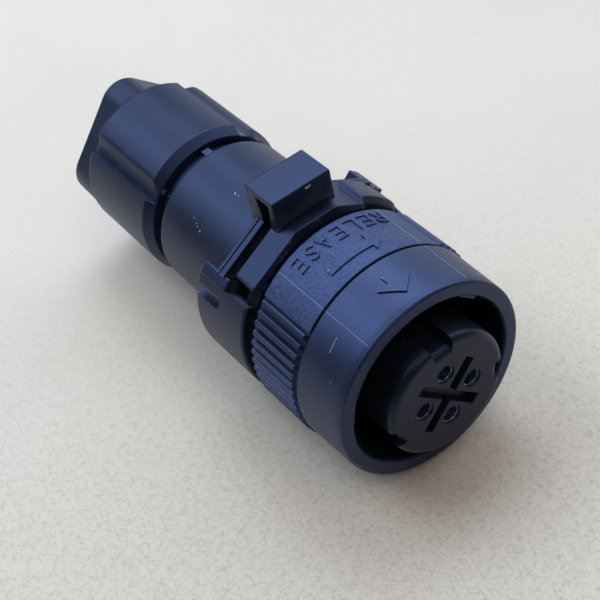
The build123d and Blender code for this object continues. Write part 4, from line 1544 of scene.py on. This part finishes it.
    def tabs(self) -> list[Surface]:
        """The two tabs beside the rail: boxes whose tops lean towards the top of the collar.

        Returns:
            One surface for each tab.
        """
        rear = self.rear + self.tab_from_rear
        front = rear + self.tab_length
        lean = radians(self.tab_angle - self.tab_lean)
        middle, height = self.tab_radius * sin(lean), self.tab_radius * cos(lean)
        low, high = height - self.tab_half[1], height + self.tab_half[1]
        outline = rounded_loop([(rear, low), (rear, high, self.tab_round), (front, high, self.tab_round),
                                (front, low)])
        return [self.slab(outline, self.tab_half[0], self.tab_round, radians(side * self.tab_lean),
                          side * middle) for side in (-1, 1)]

    def build(self, finishes: Finishes) -> None:
        """Make the collar.

        Args:
            finishes: the plug's finishes.
        """
        inner, outer = self.sleeve
        rear = self.front - self.sleeve_length
        sleeve = self.turned([(self.front, inner), (self.front, outer, self.sleeve_round),
                              (rear, outer, self.sleeve_round), (rear, inner)])
        surfaces = [sleeve, self.skirt(), self.plate(), self.strip(), self.bridge(), *self.rails(),
                    *self.tabs()]
        self.make("latch_collar", surfaces, "plug_body", "black_plastic", finishes.plastic, "lock_collar")


@dataclass
class GlandNut(Piece):
    """Gland nut: bevelled front, four wide lobes with one soft and one sharp edge, and a square hub."""

    front: float = -59.5
    hub: float = -81.0
    rear: float = -87.5
    radius: float = 14.7
    bevel_length: float = 2.0
    bevel_drop: float = 1.1
    bevel_round: float = 0.6
    front_round: float = 0.3
    end_round: float = 0.9
    round_rows: int = 6
    columns: int = 240
    groove_count: int = 4
    groove_angle: float = -48.5
    groove_half: float = 2.1
    groove_depth: float = 1.0
    groove_wall: Range = (-0.04, 0.22)
    groove_wall_steps: tuple[float, ...] = (-0.3, -0.12, -0.04, 0.02, 0.08, 0.14, 0.2, 0.26, 0.4)
    groove_slope: Range = (0.3, -2.6)
    hub_half: float = 11.8
    hub_corner: float = 4.9
    hub_taper: float = 0.0175
    hub_round: float = 0.7
    hub_steps: Range = (0.05, 0.3)
    bore: float = 12.45
    hole: float = 7.2
    hole_round: float = 0.8
    hole_land: float = 2.0
    pocket: float = 11.1
    pocket_span: Range = (-80.6, -79.3)

    @property
    def groove_pitch(self) -> float:
        """Angle from groove to groove, degrees."""
        return 360 / self.groove_count

    def angles(self) -> Array:
        """Even angles with close ones at each groove's steep wall.

        Returns:
            Sorted angles, radians.
        """
        wall = np.degrees((np.array(self.groove_wall_steps) - self.groove_half) / self.radius)
        fine = self.groove_angle + wall[None] + self.groove_pitch * np.arange(self.groove_count)[:, None]
        even = np.linspace(-180, 180, self.columns, endpoint=False)
        every = np.concatenate([even, (fine.reshape(-1) + 180) % 360 - 180])
        return np.radians(np.unique(np.round(every, 3)))

    def groove(self, angle: Array) -> Array:
        """Depth of the grooves: a steep wall on the lower side, a soft rise on the upper side.

        Args:
            angle: angles, radians.

        Returns:
            Depths, mm.
        """
        pitch = self.groove_pitch
        off = (np.degrees(angle) - self.groove_angle + pitch / 2) % pitch - pitch / 2
        arc = np.radians(off) * self.radius
        wall_from, wall_to = (-self.groove_half + edge for edge in self.groove_wall)
        slope_from, slope_to = (self.groove_half + edge for edge in self.groove_slope)
        return self.groove_depth * smooth(wall_from, wall_to, arc) * smooth(slope_from, slope_to, arc)

    def square(self, angle: Array, x: Array) -> Array:
        """Radius of the hub: a square with round corners that narrows to the rear.

        A ray at angle a from a flat's middle meets the flat at half / cos(a), or else the corner
        circle: with k = half - corner, r = k (cos a + sin a) + sqrt(corner^2 - k^2 (cos a - sin a)^2).

        Args:
            angle: angles round the axis, radians.
            x: stations, mm.

        Returns:
            Radii, mm.
        """
        half = self.hub_half - (self.hub - x) * self.hub_taper
        off = np.abs((angle - radians(self.groove_angle) + pi / 4) % (pi / 2) - pi / 4)
        k = half - self.hub_corner
        on_flat = half / np.cos(off)
        root = np.maximum(self.hub_corner ** 2 - (k * (np.cos(off) - np.sin(off))) ** 2, 0.0)
        on_corner = k * (np.cos(off) + np.sin(off)) + np.sqrt(root)
        return np.where(half * np.tan(off) <= k, on_flat, on_corner)

    def build(self, finishes: Finishes) -> None:
        """Make the nut: rows from its front over lobes and hub, and back through its hole.

        Args:
            finishes: the plug's finishes.
        """
        angle = self.angles()[None]
        lobe_rear, hub_end = self.hub + self.end_round, self.rear + self.hub_round
        bevel_rear = self.front - self.bevel_length
        front_end = rounded_loop([
            (self.front, self.bore), (self.front, self.radius - self.bevel_drop, self.front_round),
            (bevel_rear, self.radius, self.bevel_round), (bevel_rear - self.bevel_length, self.radius),
            (lobe_rear + GUARD_MM, self.radius)])
        lobe_radius = self.radius - self.groove(angle)
        arc = np.linspace(0.0, pi / 2, self.round_rows)[:, None]
        along, drawn = np.sin(arc), 1 - np.cos(arc)
        lobe_end = np.maximum(lobe_radius - self.end_round * drawn, self.square(angle, self.hub))
        x_hub = np.array([*(self.hub - step for step in self.hub_steps), hub_end + GUARD_MM])[:, None]
        pocket_rear, pocket_front = self.pocket_span
        mouth = rounded_loop([
            (self.rear, self.hole + self.hole_land), (self.rear, self.hole, self.hole_round),
            (pocket_rear, self.hole), (pocket_rear, self.pocket), (pocket_front, self.pocket),
            (pocket_front, self.bore)])
        rows = [(front_end[:, :1], np.minimum(front_end[:, 1:], lobe_radius)),
                (lobe_rear - self.end_round * along, lobe_end),
                (x_hub, self.square(angle, x_hub)),
                (hub_end - self.hub_round * along, self.square(angle, hub_end) - self.hub_round * drawn),
                (mouth[:, :1], mouth[:, 1:])]
        self.make("lobed_nut", [self.stacked(rows, angle, True)], "gland_nut", "black_plastic",
                  finishes.plastic, "gland_nut")


@dataclass
class RoundFittings(Piece):
    """The turned inner pieces that show at the gland and in the mating gap.

    A span is rear and front, and radii are bore and outside.
    """

    seal_span: Range = (-13.4, -11.6)
    seal_radii: Range = (11.2, 14.0)
    seal_lip: Range = (-12.5, 13.1)
    seal_rounds: Range = (0.2, 0.3)
    bush_span: Range = (-70.8, -59.8)
    bush_radii: Range = (5.5, 9.9)
    bush_round: float = 0.4
    washer_span: Range = (-80.4, -79.4)
    washer_radii: Range = (6.0, 10.8)
    washer_round: float = 0.2
    cord_span: Range = (-57.5, -56.9)
    cord_radii: Range = (12.25, 12.85)
    cord_round: float = 0.28

    def ring(self, span: Range, radii: Range, bore_round: float, *outer_round: float) -> Surface:
        """A ring of rectangular section, round at its bore, and outside where a round is given."""
        (rear, front), (bore, outer) = span, radii
        return self.turned([(front, bore, bore_round), (front, outer, *outer_round),
                            (rear, outer, *outer_round), (rear, bore, bore_round)])

    def gap_seal(self) -> Surface:
        """The flat seal, whose outer front edge slopes from its lip.

        Returns:
            The closed surface.
        """
        (rear, front), (bore, outer) = self.seal_span, self.seal_radii
        lip_x, lip_radius = self.seal_lip
        return self.turned([(rear, bore), (rear, outer), (lip_x, outer, self.seal_rounds[0]),
                            (front, lip_radius, self.seal_rounds[1]), (front, bore)])

    def build(self, finishes: Finishes) -> None:
        """Make each fitting.

        Args:
            finishes: the plug's finishes.
        """
        bush = self.ring(self.bush_span, self.bush_radii, self.bush_round)
        washer = self.ring(self.washer_span, self.washer_radii, self.washer_round)
        spigot_ring = self.ring(self.cord_span, self.cord_radii, self.cord_round, self.cord_round)
        rubber = "plug_body", "black_rubber", finishes.rubber
        plastic = "thrust_washer", "black_plastic", finishes.plastic
        for name, surface, kind, node in (("gap_seal", self.gap_seal(), rubber, "interface_seal"),
                                          ("cable_bush", bush, rubber, "cable_seal"),
                                          ("slip_washer", washer, plastic, "thrust_washer"),
                                          ("spigot_ring", spigot_ring, rubber, "nut_o_ring")):
            self.make(name, [surface], *kind, node)


class InnerParts:
    """CAD nodes that keep their own shape and only get a finish."""

    NODES: ClassVar[dict[str, tuple[str, ...]]] = {
        "plastic": ("insert_lock_ring", "contact_retainer", "clamp_cage"),
        "rubber": ("insert_o_ring",),
        "steel": ("retainer_screw", "contact_sleeves", "terminal_screws"),
        "spring": ("ring_retainer",),
    }

    def build(self, finishes: Finishes) -> None:
        """Give each node its finish.

        Args:
            finishes: the plug's finishes.
        """
        for finish, nodes in self.NODES.items():
            for node in nodes:
                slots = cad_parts[node].data.materials
                slots.clear()
                slots.append(getattr(finishes, finish))
                log.info("%s: %s finish", node, finish)


COOL: Tint = (0.68, 0.82, 1.0)
WARM: Tint = (1.0, 0.95, 0.88)


@dataclass(frozen=True)
class SoftLamp:
    """A square soft light that points at the plug.

    Attributes:
        name: the light's name.
        azimuth: degrees about the vertical, from the direction that the mating face looks in.
        elevation: degrees over the floor.
        size: side, metres.
        watts: power.
        tint: colour.
    """

    DISTANCE: ClassVar[float] = 0.9
    AIM: ClassVar[tuple[float, float, float]] = (0.0, 0.0, 0.02)

    name: str
    azimuth: float
    elevation: float
    size: float
    watts: float
    tint: Tint

    def build(self) -> None:
        """Add the light to the scene."""
        light = bpy.data.lights.new(self.name, "AREA")
        light.size = self.size
        light.energy = self.watts
        light.color = self.tint
        lamp = bpy.data.objects.new(self.name, light)
        turned, raised = np.radians((self.azimuth, self.elevation))
        place = Vector((np.cos(raised) * np.cos(turned), np.cos(raised) * np.sin(turned), np.sin(raised)))
        place *= self.DISTANCE
        ahead = Vector(self.AIM) - place
        lamp.matrix_world = Matrix.Translation(place) @ ahead.to_track_quat("-Z", "Y").to_matrix().to_4x4()
        bpy.context.scene.collection.objects.link(lamp)


@dataclass
class Studio:
    """Floor, soft lights and the camera at the photograph's angle."""

    axis: PlugAxis
    focal_px: float = 1400.0
    frame_px: float = 600.0
    sensor: float = 36.0
    clip_start: float = 0.01
    eye: tuple[float, float, float] = (118.4, -78.9, 162.6)
    right: tuple[float, float, float] = (0.589, 0.790, -0.171)
    forward: tuple[float, float, float] = (-0.636, 0.323, -0.701)
    floor_half: float = 3.0
    room: Colour = (0.05, 0.05, 0.05, 1.0)
    lamps: tuple[SoftLamp, ...] = (
        SoftLamp("back_right_high", 138, 56, 0.5, 4.3, COOL),
        SoftLamp("back_left_high", 222, 56, 0.5, 2.6, COOL),
        SoftLamp("back", 180, 45, 0.6, 1.7, COOL),
        SoftLamp("back_left", 215, 40, 0.6, 2.1, COOL),
        SoftLamp("right", 95, 35, 0.6, 2.4, COOL),
        SoftLamp("right_low", 130, 14, 0.5, 0.9, COOL),
        SoftLamp("front", 0, 60, 0.6, 1.8, WARM))

    def camera(self) -> None:
        """Put the camera where the photograph was taken from."""
        lens = bpy.data.cameras.new("photo_camera")
        lens.sensor_width = self.sensor
        lens.lens = self.focal_px / self.frame_px * self.sensor
        lens.clip_start = self.clip_start
        ahead = Vector(self.forward).normalized()
        right = (Vector(self.right) - Vector(self.right).dot(ahead) * ahead).normalized()
        up = right.cross(ahead)
        turn = Matrix((right, up, -ahead)).transposed().to_4x4()
        place = Vector(self.axis.place_flat(*self.eye))
        camera = bpy.data.objects.new("photo_camera", lens)
        camera.matrix_world = Matrix.Translation(place) @ turn
        bpy.context.scene.collection.objects.link(camera)
        bpy.context.scene.camera = camera

    def floor(self) -> None:
        """Lay the square floor under the plug."""
        half = self.floor_half
        corners = [(-half, -half, 0), (half, -half, 0), (half, half, 0), (-half, half, 0)]
        mesh = bpy.data.meshes.new("floor")
        mesh.from_pydata(corners, [], [(0, 1, 2, 3)])
        mesh.materials.append(PaleBoard("pale_board").material())
        floor = bpy.data.objects.new("floor", mesh)
        bpy.context.scene.collection.objects.link(floor)

    def build(self) -> None:
        """Make floor, lights, world and camera."""
        self.floor()
        for lamp in self.lamps:
            lamp.build()
        world = bpy.data.worlds.new("soft_room")
        world.use_nodes = True
        world.node_tree.nodes["Background"].inputs["Color"].default_value = self.room
        bpy.context.scene.world = world
        bpy.context.scene.view_settings.view_transform = "Standard"
        self.camera()


def main() -> None:
    """Build the studio and every sub-assembly of the plug."""
    logging.basicConfig(level=logging.INFO, format="%(name)s: %(message)s")
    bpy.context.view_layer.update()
    axis = PlugAxis.from_frame()
    Studio(axis).build()
    finishes = Finishes.make(axis)
    for sub_assembly in (CouplingRing, RearShell, ContactInsert, SocketContacts, LatchCollar, GlandNut,
                         RoundFittings):
        sub_assembly(axis).build(finishes)
    InnerParts().build(finishes)


if __name__ == "__main__":
    main()
